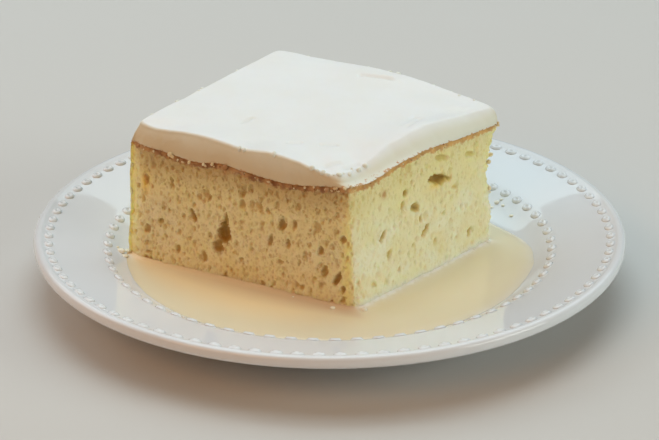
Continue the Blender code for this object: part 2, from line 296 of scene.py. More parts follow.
# Soft studio light: each panel faces the cake from its azimuth and elevation
studio = {
    "panels": (
        {"name": "backWindow", "azimuth": 92, "elevation": 52, "distance": 1700, "size": (2200, 1300),
         "power": 13.6, "colour": (0.73, 0.92, 1.0)},
        {"name": "leftWindow", "azimuth": 158, "elevation": 34, "distance": 1500, "size": (900, 800),
         "power": 4.6, "colour": (0.84, 0.95, 1.0)},
        {"name": "rightWindow", "azimuth": -22, "elevation": 18, "distance": 1500, "size": (900, 600),
         "power": 8.6, "colour": (0.90, 1.0, 0.96)},
        {"name": "ceiling", "azimuth": 90, "elevation": 80, "distance": 1600, "size": (1200, 1200),
         "power": 9.4, "colour": (0.79, 0.94, 1.0)},
        {"name": "warmFill", "azimuth": 228, "elevation": 34, "distance": 1500, "size": (1200, 600),
         "power": 5.9, "colour": (1.0, 0.47, 0.15)},
    ),
    "aim": (0, 0, 25),
    "roomColour": (1.0, 0.62, 0.36),
    "roomStrength": 0.11,
    "floorSize": 3200,
    "floorFinish": {
        "ior": 1.45,
        "colour": (0.66, 0.645, 0.62),
        "worn": (0.625, 0.61, 0.58),
        "mottle": 3.0,
        "roughness": (0.62, 0.72),
    },
}


def makeLights():
    for panel in studio["panels"]:
        data = bpy.data.lights.new(panel["name"], "AREA")
        data.shape = "RECTANGLE"
        data.size, data.size_y = (side * mm for side in panel["size"])
        data.energy = panel["power"]
        data.color = panel["colour"]
        lamp = bpy.data.objects.new(panel["name"], data)
        around, up = math.radians(panel["azimuth"]), math.radians(panel["elevation"])
        away = Vector((math.cos(around) * math.cos(up), math.sin(around) * math.cos(up), math.sin(up)))
        lamp.location = (Vector(studio["aim"]) + away * panel["distance"]) * mm
        lamp.rotation_euler = away.to_track_quat("Z", "Y").to_euler()
        bpy.context.scene.collection.objects.link(lamp)
    world = bpy.data.worlds.new("room")
    world.use_nodes = True
    background = world.node_tree.nodes["Background"]
    background.inputs["Color"].default_value = (*studio["roomColour"], 1)
    background.inputs["Strength"].default_value = studio["roomStrength"]
    bpy.context.scene.world = world
    bpy.context.scene.view_settings.view_transform = "Standard"


def makeFloor():
    half, finish = studio["floorSize"] / 2, studio["floorFinish"]
    material, tree, place = newMaterial("paleFloor", finish)
    mottle = noiseField(tree, place, finish["mottle"])
    tone = blend(tree, mottle, finish["colour"], finish["worn"])
    finishMaterial(material, tone, rise(tree, mottle, 0.3, 0.7, *finish["roughness"]))
    corners = [(-half, -half, 0), (half, -half, 0), (half, half, 0), (-half, half, 0)]
    floor = addPiece("floor", corners, [(0, 1, 2, 3)], material)


makeCamera()
makeLights()
makeFloor()
print("camera, light and floor are set")


# Plate: glazed porcelain, turned from one half section
plateDesign = {
    "radius": 99.98,
    "height": 20,
    "steps": 256,
    "wellRadius": 60,
    "wellRings": (4, 12, 20, 28, 36, 44, 52),
    "floorTop": 9.3,
    "floorUnderside": 4.8,
    # knots of the upper face: radius, height, slope
    "knots": ((60, 9.3, 0.0), (71, 12.0, 0.55), (77.5, 15.2, 0.22), (96, 19.1, 0.22)),
    "rimRings": (60, 96.6, 0.9),  # from, to, step
    "underRings": (95.5, 66, -1.5),
    "underWellRings": (40, 24, 8),
    "rimThickness": 3.8,
    "lipHalfWidth": 1.9,
    "lipHalfHeight": 2.1,
    "lipSquareness": 2.5,
    "lipArc": (115, -90),  # from outwards level
    "lipPoints": 22,
    "footOuter": 58.5,
    "footInner": 53.5,
    "footEdge": 0.7,
    "footFlare": 1.6,
    "footEase": 0.2,
    "finish": {
        "ior": 1.5,
        "white": (0.795, 0.82, 0.85),
        "shade": (0.765, 0.79, 0.815),
        # painted shade in the pearls' dimples
        "hollow": (0.68, 0.70, 0.715),
        "cloud": (22, 3, 0.5, 0.35, 0.7),  # scale, detail, roughness of the noise, then its levels
        "smear": (70, 3, 0.5, 0.3, 0.7, 0.03, 0.06),
        "reliefs": ((45, 2, 0.5, 0.35, 0.12), (420, 2, 0.5, 0.10, 0.03)),
    },
}


def hermite(t, start, end, startSlope, endSlope):
    return (
        start * (2 * t**3 - 3 * t**2 + 1)
        + startSlope * (t**3 - 2 * t**2 + t)
        + end * (3 * t**2 - 2 * t**3)
        + endSlope * (t**3 - t**2)
    )


def plateTop(radius):  # height of the glazed upper face
    if radius <= plateDesign["wellRadius"]:
        return plateDesign["floorTop"]
    for (r0, z0, s0), (r1, z1, s1) in zip(plateDesign["knots"], plateDesign["knots"][1:]):
        if radius <= r1:
            return hermite((radius - r0) / (r1 - r0), z0, z1, s0 * (r1 - r0), s1 * (r1 - r0))
    return plateDesign["knots"][-1][1]


def plateUnder(flat):  # height of the plate under each of these points
    return np.array([plateTop(math.hypot(x, y)) for x, y in flat])


def lipPoints():
    middleR = plateDesign["radius"] - plateDesign["lipHalfWidth"]
    middleZ = plateDesign["height"] - plateDesign["lipHalfHeight"]
    power = 2 / plateDesign["lipSquareness"]
    points = []
    for angle in np.radians(np.linspace(*plateDesign["lipArc"], plateDesign["lipPoints"])):
        across, up = math.cos(angle), math.sin(angle)
        r = middleR + plateDesign["lipHalfWidth"] * math.copysign(abs(across) ** power, across)
        z = middleZ + plateDesign["lipHalfHeight"] * math.copysign(abs(up) ** power, up)
        points.append((r, z))
    return points


def plateSection():  # from the middle of the upper face round to the middle of the underside
    footOuter, footInner = plateDesign["footOuter"], plateDesign["footInner"]
    edge, flare, under = (plateDesign[key] for key in ("footEdge", "footFlare", "floorUnderside"))
    section = [(r, plateTop(r)) for r in (*plateDesign["wellRings"], *np.arange(*plateDesign["rimRings"]))]
    section += lipPoints()
    section += [(r, plateTop(r) - plateDesign["rimThickness"]) for r in np.arange(*plateDesign["underRings"])]
    section += [
        (footOuter + flare, under - edge),
        (footOuter + plateDesign["footEase"], 2 * edge),
        (footOuter, edge),
        (footOuter - edge * 0.3, edge * 0.3),
        (footOuter - edge, 0.0),
        (footInner + edge, 0.0),
        (footInner + edge * 0.3, edge * 0.3),
        (footInner, edge),
        (footInner - flare, under),
    ]
    section += [(r, under) for r in plateDesign["underWellRings"]]
    return section


def porcelain():
    glaze = plateDesign["finish"]
    material, tree, place = newMaterial("whiteGlaze", glaze)
    white = blend(tree, patches(tree, place, glaze["cloud"]), glaze["white"], glaze["shade"])
    # painted shade in the pearls' dimples
    tone = blend(tree, readAttribute(tree, "hollow"), white, glaze["hollow"])
    roughness = patches(tree, place, glaze["smear"])
    return finishMaterial(material, tone, roughness, roughen(tree, place, glaze["reliefs"]))


def makePlate(material):
    section = plateSection()
    steps = plateDesign["steps"]
    angles = np.arange(steps) * 2 * math.pi / steps
    rings = [np.column_stack([r * np.cos(angles), r * np.sin(angles), np.full(steps, z)]) for r, z in section]
    poles = [(0, 0, plateDesign["floorTop"]), (0, 0, plateDesign["floorUnderside"])]
    points = np.vstack([*rings, poles])
    count = len(section) * steps
    plate = addPiece("glazedPlate", points, loftFaces(len(section), steps, count, count + 1), material)
    tidyMesh(plate)
    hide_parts("plate")
    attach(plate, "root")


# Two rows of pearls on the plate, by Geometry Nodes: soft ovals with a dimple in the middle
pearls = {
    "rows": ((75.2, 67), (95.0, 88)),  # row radius, number in the row
    "halfWidth": 1.8,
    "halfLength": 2.5,
    "tall": 1.05,
    "dome": 0.42,  # share of the height in the broad dome, the rest is in the ring on it
    "skirt": 1.5,  # how softly it runs out into the plate
    "ringAt": 0.54,  # where the ring's crest runs, from the middle to the edge
    "ringWidth": 0.25,
    "dimple": (0.40, 0.10),  # where its painted shade begins and is full
    "joinWithin": 0.01,
    "slopeOver": 0.2,  # over how far the plate's slope under a row is taken
    "sunk": 0.08,
    "under": 0.35,  # how deep the closed underside reaches into the plate
    "sides": 12,
    "rings": 5,
}


def pearlTree(material):
    sizes = ("Row Radius", "Height", "Tilt", "Half Width", "Half Length", "Tall")
    tree, given, out = newTree("pearlRow", [*((label, "Float") for label in sizes), ("Count", "Int")])
    # a flat grid is bent round into one pearl: x goes round it, y from the middle outwards
    rings, sides = pearls["rings"], pearls["sides"]
    sheet = {"Size X": 1, "Size Y": rings + 1, "Vertices X": sides + 1, "Vertices Y": rings + 2}
    grid = wired(tree, "GeometryNodeMeshGrid", sheet).outputs["Mesh"]
    spot = splitUp(tree, herePoint(tree))
    step = plus(tree, spot["Y"], (rings + 1) / 2)
    onTop = calc(tree, "LESS_THAN", step, rings + 0.5)
    share = times(tree, calc(tree, "DIVIDE", step, float(rings)), onTop)
    angle = times(tree, spot["X"], -2 * math.pi)
    offCrest = calc(tree, "DIVIDE", minus(tree, share, pearls["ringAt"]), pearls["ringWidth"])
    offCrest = calc(tree, "POWER", calc(tree, "ABSOLUTE", offCrest), 2.0)
    crest = calc(tree, "EXPONENT", times(tree, offCrest, -1.0))
    dome = calc(tree, "POWER", minus(tree, 1.0, calc(tree, "POWER", share, 2.0)), pearls["skirt"])
    tall = plus(tree, times(tree, dome, pearls["dome"]), times(tree, crest, 1 - pearls["dome"]))
    tall = times(tree, tall, given["Tall"], onTop)
    deep = times(tree, minus(tree, 1.0, onTop), pearls["under"] * mm)
    across = times(tree, calc(tree, "COSINE", angle), share, given["Half Width"])
    along = times(tree, calc(tree, "SINE", angle), share, given["Half Length"])
    bent = vectorOf(tree, across, along, minus(tree, tall, deep))
    # painted shade, full in the middle of the dimple
    pearl = storeValue(tree, grid, "hollow", rise(tree, share, *pearls["dimple"]))
    pearl = wired(tree, "GeometryNodeSetPosition", {"Geometry": pearl, "Position": bent}).outputs[0]
    fed = {"Geometry": pearl, "Distance": pearls["joinWithin"] * mm}
    pearl = wired(tree, "GeometryNodeMergeByDistance", fed).outputs[0]
    tilt = vectorOf(tree, y=given["Tilt"])
    pearl = wired(tree, "GeometryNodeTransform", {"Geometry": pearl, "Rotation": tilt}).outputs[0]
    # a pearl at each point of a circle, its short way pointing outwards
    row = wired(tree, "GeometryNodeMeshCircle", {"Vertices": given["Count"], "Radius": given["Row Radius"]})
    halfStep = vectorOf(tree, z=calc(tree, "DIVIDE", math.pi, given["Count"]))
    fed = {"Geometry": row.outputs[0], "Rotation": halfStep, "Translation": vectorOf(tree, z=given["Height"])}
    row = wired(tree, "GeometryNodeTransform", fed)
    level = vectorCalc(tree, "MULTIPLY", herePoint(tree), (1, 1, 0))
    outward = wired(tree, "FunctionNodeAlignRotationToVector", {"Vector": level}, axis="X", pivot_axis="Z")
    fed = {"Points": row.outputs[0], "Instance": pearl, "Rotation": outward.outputs[0]}
    placed = wired(tree, "GeometryNodeInstanceOnPoints", fed).outputs[0]
    smooth = wired(tree, "GeometryNodeSetShadeSmooth", {"Geometry": placed}).outputs[0]
    finishTree(tree, smooth, material, out)
    return tree


def makePearls(material):
    tree = pearlTree(material)
    for (rowRadius, count), label in zip(pearls["rows"], ("inner", "outer")):
        row = addPiece(label + "PearlRow", [(0, 0, 0)], [])
        over = pearls["slopeOver"]
        slope = (plateTop(rowRadius + over / 2) - plateTop(rowRadius - over / 2)) / over
        sizes = {
            "Row Radius": rowRadius * mm,
            "Height": (plateTop(rowRadius) - pearls["sunk"]) * mm,
            "Tilt": -math.atan(slope),
            "Half Width": pearls["halfWidth"] * mm,
            "Half Length": pearls["halfLength"] * mm,
            "Tall": pearls["tall"] * mm,
            "Count": count,
        }
        runTree(row, tree, sizes)
        tidyMesh(row)
        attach(row, "root")


whiteGlaze = porcelain()
makePlate(whiteGlaze)
makePearls(whiteGlaze)
print("plate and pearl rows are made")


# The slice's cut: corners and sides run left, front, right, back as seen from -Y
cakeCut = {
    "baseCorners": ((-69.7, -2.6), (9.4, -46.3), (55.2, 9.6), (-21.0, 53.5)),
    "crustCorners": ((-67.7, -1.2), (6.8, -45.6), (57.6, 9.8), (-18.8, 57.0)),
    "creamCorners": ((-64.6, 0.2), (3.6, -43.2), (57.2, 9.4), (-18.2, 57.6)),
    "crustHeights": (52.0, 54.3, 54.6, 55.6),
    "creamHeights": (59.4, 59.8, 60.4, 63.1),
    "bows": (0.4, 0.6, 3.2, 0.2),
    "cornerRound": 2.6,
    # extra turn of a side next to a corner: side, end, pull, reach
    "turns": ((0, 0, 3.6, 9.0), (1, 0, 1.1, 6.0)),
    # side, place along it, height, reach as a share of the side
    "crustSwells": (
        (0, 0.30, -1.7, 0.13), (0, 0.42, 0.5, 0.05), (0, 0.70, -3.0, 0.20),
        (1, 0.13, -1.1, 0.10), (1, 0.48, 2.1, 0.27),
    ),
    "creamSwells": (
        (0, 0.08, -1.0, 0.09), (0, 0.32, 0.4, 0.10), (0, 0.53, -0.8, 0.08), (0, 0.64, 0.5, 0.05),
        (0, 0.95, -2.7, 0.12), (1, 0.10, -3.2, 0.14), (1, 0.58, 2.3, 0.24), (2, 0.45, 1.7, 0.25),
    ),
    "linePasses": 8,  # how far the browned line's height is evened out
    "roughness": 0.45,
    "roughWaves": ((0.11, 1.3), (0.34, 0.5)),  # frequency and height
    "gap": 0.3,  # to the plate
}


def cutSide(corners, side):
    return corners[side], corners[(side + 1) % 4]


def stations(step, backStep=None):  # (side, t) places round the slice, about this far apart
    places = []
    for side in range(4):
        length = math.dist(*cutSide(cakeCut["crustCorners"], side))
        count = round(length / (backStep if backStep and side > 1 else step))
        places += [(side, (i + 0.5) / count) for i in range(count)]
    return places


def outline(corners, places, turned=True):
    ring = []
    reach = cakeCut["cornerRound"]
    for side, t in places:
        start, end = map(Vector, cutSide(corners, side))
        run = (end - start).normalized()
        outward = Vector((run.y, -run.x))
        length = (end - start).length
        near = min(t, 1 - t) * length
        pull = max(0.0, reach - near) ** 2 / reach**2
        for where, corner, deep, far in cakeCut["turns"]:
            if turned and where == side:
                pull += deep * max(0.0, 1 - abs(t - corner) * length / far) ** 2
        ring.append(start.lerp(end, t) + outward * (cakeCut["bows"][side] * math.sin(math.pi * t) - pull))
    return np.array(ring)


def edgeHeights(kind, places):  # of the crust's or the cream's edge
    heights, found = cakeCut[kind + "Heights"], []
    for side, t in places:
        height = heights[side] * (1 - t) + heights[(side + 1) % 4] * t
        for where, at, swell, reach in cakeCut[kind + "Swells"]:
            if where == side:
                height += swell * math.exp(-(((t - at) / reach) ** 2))
        found.append(height)
    return np.array(found)


def roughened(ring, heights, away, amount):
    shift = amount * waves(np.column_stack([ring, heights]), cakeCut["roughWaves"])
    return ring + away * shift[:, None]


def bySide(values, side, passes):  # one value for each side, evened out round the corners
    return evenOut(np.array(values)[side], passes)


# Sponge: a dense wall whose bubbles are opened by the knife
sponge = {
    "step": 0.37,
    "backStep": 0.55,
    "levels": 104,
    "capRings": (0.97, 0.80, 0.45),
    "capUnder": 20.0,  # how far under the crust the hidden caps count for their colour
    "cornerPasses": 14,
    "sidePasses": 12,
    "groove": (0.40, 0.6),  # how far the browned line under the cream is drawn in, and its reach
    "crustRough": (0.45, 1.4),  # height and reach of its roughness
    "crustWaves": ((1.1, 1.0), (2.3, 0.5)),
    "openness": (1.0, 0.55, 0.7, 0.8),  # of the bubbles on each side
    "sidesInShade": (1.0, 0.0, 1.0, 1.0),  # painted shade: 1 on the left and back sides, which lie in shade, 0 on the lit right side, the paler one
    "rightHollow": (3.2, 39, 11, 6.5),  # of the right corner: depth, height, reach up, reach along
    "cornerTorn": 1.1,
    "cornerWaves": ((0.45, 1.0), (1.1, 0.8), (2.1, 0.4)),
    "raggedness": 0.38,  # of the named pores' edges
    "raggedWaves": ((0.55, 1.0), (1.4, 0.5)),
    # larger pores: place along the side, height above the plate, width, height, depth, lean, and for
    # some how far they fall towards the right
    "leftPores": (
        (40.0, 23.5, 1.8, 6.0, 2.4, 0.0), (38.9, 18.0, 5.4, 8.4, 4.4, 0.0), (37.0, 13.5, 4.0, 6.2, 3.0, 0.0),
        (27.0, 22.0, 2.2, 5.0, 2.4, -1.2), (14.0, 17.5, 2.6, 2.2, 1.6, 0.0), (32.6, 30.0, 2.4, 3.0, 1.6, 0.3),
        (31.5, 8.5, 2.4, 4.4, 1.6, 0.0), (21.5, 9.0, 2.0, 3.4, 1.4, 0.0), (61.3, 26.5, 3.0, 4.2, 2.2, 0.4),
        (66.0, 27.5, 2.2, 3.0, 1.8, 0.0), (57.0, 20.0, 2.2, 4.2, 1.7, 0.3), (63.5, 20.3, 2.0, 3.4, 1.6, 0.0),
        (76.0, 20.5, 2.2, 3.4, 1.7, 0.0), (74.5, 28.5, 3.2, 4.4, 1.1, 0.0), (49.5, 31.0, 2.2, 4.0, 1.1, 0.0),
        (77.5, 13.0, 3.0, 4.2, 1.8, 0.0), (61.0, 13.0, 2.6, 1.6, 1.2, 0.0), (69.0, 5.5, 1.8, 2.0, 1.2, 0.0),
        (82.3, 11.5, 2.6, 5.0, 2.2, 0.8), (84.6, 8.0, 1.8, 3.0, 1.6, 0.0), (84.2, 26.0, 2.6, 2.8, 1.6, 0.0),
    ),
    "rightPores": (
        (42.5, 35.0, 12.6, 3.6, 4.6, 0.0, 1.9), (30.3, 28.6, 5.4, 3.6, 2.7, 0.0, 0.6),
        (14.2, 23.6, 2.4, 4.0, 2.3, 0.9), (36.0, 19.4, 2.4, 3.6, 2.3, 0.8), (34.5, 17.4, 2.0, 2.6, 1.8, 0.0),
        (17.0, 15.8, 1.8, 4.4, 1.6, 0.6), (59.3, 9.6, 2.4, 3.8, 1.9, 0.2), (25.8, 35.0, 2.2, 2.8, 2.2, 0.4),
        (44.0, 42.3, 6.4, 2.4, 1.6, 0.0, 0.8), (60.0, 38.6, 5.6, 2.0, 1.5, 0.0, 0.8),
        (24.6, 31.0, 2.0, 4.6, 1.5, 0.4), (33.0, 24.0, 2.2, 2.8, 1.6, 0.0),
        (51.0, 29.5, 4.4, 1.8, 1.2, 0.0, 0.5), (29.0, 15.2, 2.0, 2.2, 1.2, 0.0),
        (44.5, 22.0, 2.4, 2.0, 1.0, 0.0), (41.0, 13.0, 2.2, 2.4, 1.1, 0.3), (8.8, 8.0, 2.2, 2.6, 1.1, 0.0),
        (22.0, 9.0, 2.4, 2.0, 1.0, 0.0),
    ),
    # stains, and painted light glowing through the left side's two edges: side, place along it, height above
    # the plate, width, height
    "amber": ((0, 7.5, 30.0, 4.5, 9.0), (1, 42.5, 33.6, 9.0, 3.0)),
    "yellowedAndLitEdge": (
        # the first two are painted light, glowing through the left side's edges
        (0, 1.2, 24.0, 7.0, 60.0), (0, 86.0, 20.0, 4.0, 40.0),
        (1, 44.0, 42.0, 9.0, 5.0), (1, 60.0, 38.5, 14.0, 6.0), (1, 72.0, 34.0, 8.0, 26.0),
    ),
    "browned": ((1, 15.3, 38.2, 2.6, 2.8), (0, 39.0, 40.6, 2.6, 3.0), (0, 78.2, 43.0, 3.2, 2.6)),
    # bubbles of three sizes: cell, share of the cells that hold one, depth against width
    "coarse": (3.0, 0.22, 0.55),
    "middle": (1.75, 0.66, 0.60),
    "fine": (1.10, 0.72, 0.55),
    "bubbleRadii": (0.16, 0.50),  # least and greatest, as a share of the cell
    "stretch": 1.45,  # bubbles stand a little taller than wide
    "warp": 0.5,
    "warpScale": 1.6,
    "grain": 0.22,
    "grainPattern": (900, 2, 0.6),  # scale, detail, roughness
    "seed": 5,
    "seedStep": (3.1, 7.7, 5.3),
    "poresFrom": (0.5, 1.6),  # how far under the crust they begin, and over how far
    "poresAbove": (-1.0, 2.0),  # and above the plate's well
    "stainRagged": 0.75,
    "finish": {
        "ior": 1.38,
        "softWeight": 0.50,
        "softTint": (1.0, 0.62, 0.26),
        "softDepth": 3.2,
        "pale": (0.95, 0.915, 0.67),
        "golden": (0.91, 0.84, 0.52),
        "broad": (95, 3),  # scale and detail of the noise between the two
        "broadLevels": (0.36, 0.66),
        "upper": (0.87, 0.77, 0.33),
        "upperFrom": (26, 50, 0.0, 0.65),  # painted shade: heights over which the sides grow darker towards the top, and the tone's share at each
        "shaded": (0.83, 0.69, 0.33),
        "shadedShare": 0.5,
        "yellow": (0.98, 0.91, 0.40),
        "yellowShares": (0.4, 0.95),  # right side and the others
        "yellowPores": 0.4,
        "amber": (0.95, 0.67, 0.15),
        "amberShare": 0.8,
        "pore": (0.60, 0.43, 0.18),  # painted shade in the pores, partly their own deeper colour; paler on the lit right side
        "porePale": (0.75, 0.61, 0.21),
        # painted shade, darker still in the deepest pores
        "deepPore": (0.50, 0.31, 0.08),
        "deepFrom": (1.0, 3.2),
        "poreShare": 0.85,
        # painted shade: the pits' tone darkens with their depth
        "pitFrom": (0.10, 1.5),
        "pitShare": 0.92,
        # the finest pores are drawn by the material as painted shade and a bump: cell, how tall they stand,
        # weight
        "finePores": ((1.60, 1.5, 0.6), (0.85, 1.3, 0.4)),
        "fineBend": 0.9,
        "fineEdge": (0.10, 0.50),
        "patchy": (210, 3, 0.6, 0.34, 0.62, 0.45, 1.0),
        "finestUnder": (15.0, 3.0, 1.0, 1.9),  # they are strongest right under the crust
        # the soaked foot on the sides in shade, its darker tone partly painted shade
        "soaked": (0.88, 0.69, 0.45),
        "milky": (0.93, 0.89, 0.74),
        "soakedTop": 13.0,
        "soakedWander": 6,
        "soakedRise": 1.8,  # how much higher the right side has drawn the milk
        "soakedFade": 3.2,
        "soakedShare": 0.75,
        # a golden zone under the crust, partly the crumb's own colour and partly painted shade
        "underCrust": (0.57, 0.41, 0.185),
        "underReach": (13.0, 1.0),
        "underShares": (0.15, 0.85),  # right side and the others; partly painted shade, much stronger on the sides in shade
        "crust": (0.28, 0.125, 0.05),
        "crustTan": (0.56, 0.31, 0.125),  # paler on the lit right side; the darker tan on the sides in shade is partly painted shade
        "crustPale": (0.76, 0.44, 0.15),
        "crustWidth": 1.7,
        "crustNarrow": (0.8, 0.95),  # share of the width where it is narrowest, right and left side
        "crustWide": 1.9,
        "crustRagged": (480, 3, 0.65, 0.32, 0.70),
        "crustFade": 0.5,
        "scorched": (300, 2, 0.5, 0.34, 0.64),
        "scorchedShares": (0.35, 1.0),  # right side and the others
        "roughness": (0.62, 0.22),  # dry and soaked
        "poreRelief": (0.7, 0.40),
        "reliefs": ((1300, 3, 0.65, 0.5, 0.30), (3800, 2, 0.6, 0.35, 0.12)),
    },
}


def bubbleDepth(tree, place, cell, share, deepness, seed, stretch, warp):
    grid = vectorCalc(tree, "SCALE", place, calc(tree, "DIVIDE", 1.0, cell))
    grid = vectorCalc(tree, "MULTIPLY", grid, vectorOf(tree, 1.0, 1.0, calc(tree, "DIVIDE", 1.0, stretch)))
    grid = swirled(tree, grid, sponge["warpScale"], warp)
    grid = vectorCalc(tree, "ADD", grid, vectorCalc(tree, "SCALE", sponge["seedStep"], seed))
    cells = wired(tree, "ShaderNodeTexVoronoi", {"Vector": grid, "Scale": 1})
    draw = splitUp(tree, cells.outputs["Color"])[0]
    # each cell's bubble has its own radius, and some cells have none
    least = minus(tree, 1.0, share)
    radius = rise(tree, draw, least, 1.0, *sponge["bubbleRadii"])
    radius = times(tree, radius, calc(tree, "GREATER_THAN", draw, least))
    away = calc(tree, "POWER", cells.outputs["Distance"], 2.0)
    square = minus(tree, calc(tree, "POWER", radius, 2.0), away)
    bowl = calc(tree, "SQRT", calc(tree, "MAXIMUM", square, 0.0))
    return times(tree, bowl, cell, deepness, 2.0)


def crumbTree(material):
    inputs = [(label, "Float") for label in ("Stretch", "Warp", "Grain", "Seed")]
    for size in ("Coarse", "Middle", "Fine"):
        inputs += [(f"{size} {label}", "Float") for label in ("Cell", "Share", "Depth")]
    tree, given, out = newTree("openCrumb", inputs)
    place = herePoint(tree)
    mask = pointValue(tree, "wallMask")
    depth = pointValue(tree, "namedPit")
    for offset, size in enumerate(("Coarse", "Middle", "Fine")):
        cell, share, deepness = (given[f"{size} {label}"] for label in ("Cell", "Share", "Depth"))
        seed = plus(tree, given["Seed"], float(offset))
        bubble = bubbleDepth(tree, place, cell, share, deepness, seed, given["Stretch"], given["Warp"])
        depth = calc(tree, "MAXIMUM", depth, times(tree, bubble, mask))
    kept = storeValue(tree, given["Geometry"], "pit", depth)
    # torn crumb between the bubbles
    grain = minus(tree, noiseField(tree, place, *sponge["grainPattern"]), 0.5)
    grain = times(tree, grain, given["Grain"], mask)
    moved = pushOut(tree, kept, minus(tree, grain, pointValue(tree, "pit")))
    finishTree(tree, moved, material, out)
    return tree


def finePores(tree, place, cell, tall):  # 0 in the middle of a pore, 1 on the walls between
    bend = sponge["finish"]["fineBend"]
    bent = swirled(tree, place, bend / (cell * mm), bend * cell * mm)
    upright = vectorCalc(tree, "MULTIPLY", bent, (1, 1, 1 / tall))
    cells = wired(tree, "ShaderNodeTexVoronoi", {"Vector": upright, "Scale": 1 / (cell * mm)})
    return rise(tree, cells.outputs["Distance"], *sponge["finish"]["fineEdge"])


def crumbMaterial():
    crumb = sponge["finish"]
    material, tree, place = newMaterial("soakedCrumb", crumb)
    z = splitUp(tree, place)["Z"]
    sidesInShade, pit, under = (readAttribute(tree, name) for name in ("sidesInShade", "pit", "underCrust"))

    # a share running from its value on the lit right side to its value on the sides in shade
    def sidesInShadeShare(onRight, elsewhere):
        return rise(tree, sidesInShade, 0.0, 1.0, onRight, elsewhere)

    broad = noiseField(tree, place, *crumb["broad"])
    tone = blend(tree, rise(tree, broad, *crumb["broadLevels"]), crumb["pale"], crumb["golden"])
    # painted shade: darker towards the top of the sides, standing in for the milk's warm bounce light on the
    # foot
    low, high, *shares = crumb["upperFrom"]
    tone = blend(tree, rise(tree, z, low * mm, high * mm, *shares), tone, crumb["upper"])
    # painted shade: the sides in shade take a darker, more golden tone
    tone = blend(tree, times(tree, sidesInShade, crumb["shadedShare"]), tone, crumb["shaded"])
    # painted light: yellow strips along the left side's edges, where light glows through the crumb, and
    # yellow patches on the right side
    yellowedAndLitEdge = times(tree, readAttribute(tree, "yellowedAndLitEdge"), sidesInShadeShare(*crumb["yellowShares"]))
    tone = blend(tree, yellowedAndLitEdge, tone, crumb["yellow"])
    tone = blend(tree, times(tree, readAttribute(tree, "amber"), crumb["amberShare"]), tone, crumb["amber"])
    # painted shade in the pores, darker the deeper they lie and paler on the lit right side
    pore = blend(tree, sidesInShade, crumb["porePale"], crumb["pore"])
    shallow, deep = crumb["deepFrom"]
    pore = blend(tree, rise(tree, pit, shallow * mm, deep * mm), pore, crumb["deepPore"])
    # fine pores, painted as shade with a bump, fainter where the side is smoother, and the finest right under
    # the crust
    larger, smaller = (
        times(tree, finePores(tree, place, *size), weight) for *size, weight in crumb["finePores"]
    )
    openness = times(tree, readAttribute(tree, "wallMask"), patches(tree, place, crumb["patchy"]))
    holes = times(tree, minus(tree, 1.0, plus(tree, larger, smaller)), openness)
    holes = times(tree, holes, rise(tree, under, *crumb["finestUnder"]))
    holes = times(tree, holes, rise(tree, yellowedAndLitEdge, 0.0, 1.0, 1.0, crumb["yellowPores"]))
    tone = blend(tree, times(tree, holes, crumb["poreShare"]), tone, pore)
    # painted shade deepening with each pit's depth
    shallow, deep = crumb["pitFrom"]
    tone = blend(tree, rise(tree, pit, shallow * mm, deep * mm, 0.0, crumb["pitShare"]), tone, pore)
    # the soaked foot, up to a wavy line a little above the milk
    wander = times(tree, minus(tree, broad, 0.5), crumb["soakedWander"] * mm)
    line = plus(tree, crumb["soakedTop"] * mm, wander)
    line = plus(tree, line, sidesInShadeShare(crumb["soakedRise"] * mm, 0.0))
    wet = rise(tree, z, line, minus(tree, line, crumb["soakedFade"] * mm))
    # the soaked foot, darker on the sides in shade, partly painted shade
    foot = blend(tree, sidesInShade, crumb["milky"], crumb["soaked"])
    tone = blend(tree, times(tree, wet, crumb["soakedShare"]), tone, foot)
    # the browned line right under the cream: darker and more ragged on the left side, where its darker tan is
    # partly painted shade
    # a golden zone under the crust, partly the crumb's own colour and partly painted shade darkening the top
    # of the sides in shade
    golden = times(tree, rise(tree, under, *crumb["underReach"]), sidesInShadeShare(*crumb["underShares"]))
    golden = times(tree, golden, minus(tree, 1.0, yellowedAndLitEdge))
    tone = blend(tree, golden, tone, crumb["underCrust"])
    least = sidesInShadeShare(*(share * crumb["crustWidth"] for share in crumb["crustNarrow"]))
    most = crumb["crustWide"] * crumb["crustWidth"]
    width = patches(tree, place, (*crumb["crustRagged"], least, most))
    browned = rise(tree, under, width, times(tree, width, crumb["crustFade"]))
    dark = times(tree, patches(tree, place, crumb["scorched"]), sidesInShadeShare(*crumb["scorchedShares"]))
    brown = blend(tree, dark, blend(tree, sidesInShade, crumb["crustPale"], crumb["crustTan"]), crumb["crust"])
    tone = blend(tree, browned, tone, brown)
    tone = blend(tree, readAttribute(tree, "browned"), tone, brown)
    sunk = relief(tree, minus(tree, 0.0, holes), *crumb["poreRelief"])
    torn = roughen(tree, place, crumb["reliefs"], sunk)
    return finishMaterial(material, tone, rise(tree, wet, 0.0, 1.0, *crumb["roughness"]), torn)


def pitDepths(along, up, pores, torn):
    depth = np.zeros_like(along)
    for at, height, width, high, deep, lean, *fall in pores:
        drop = sum(fall) * (along - at) / (width / 2)
        climb = (up - height + drop) / (high / 2)
        across = (along - at - lean * climb) / (width / 2)
        reach = np.hypot(across, climb) + torn * sponge["raggedness"]
        depth = np.maximum(depth, deep * np.sqrt(np.clip(1 - reach**2, 0, None)))
    return depth


def stainShares(along, up, side, stains):
    share = np.zeros_like(along)
    for where, at, height, wide, high in stains:
        spread = bell(along - at, wide / 2) * bell(up - height, high / 2)
        share = np.maximum(share, np.where(side == where, spread, 0))
    return share


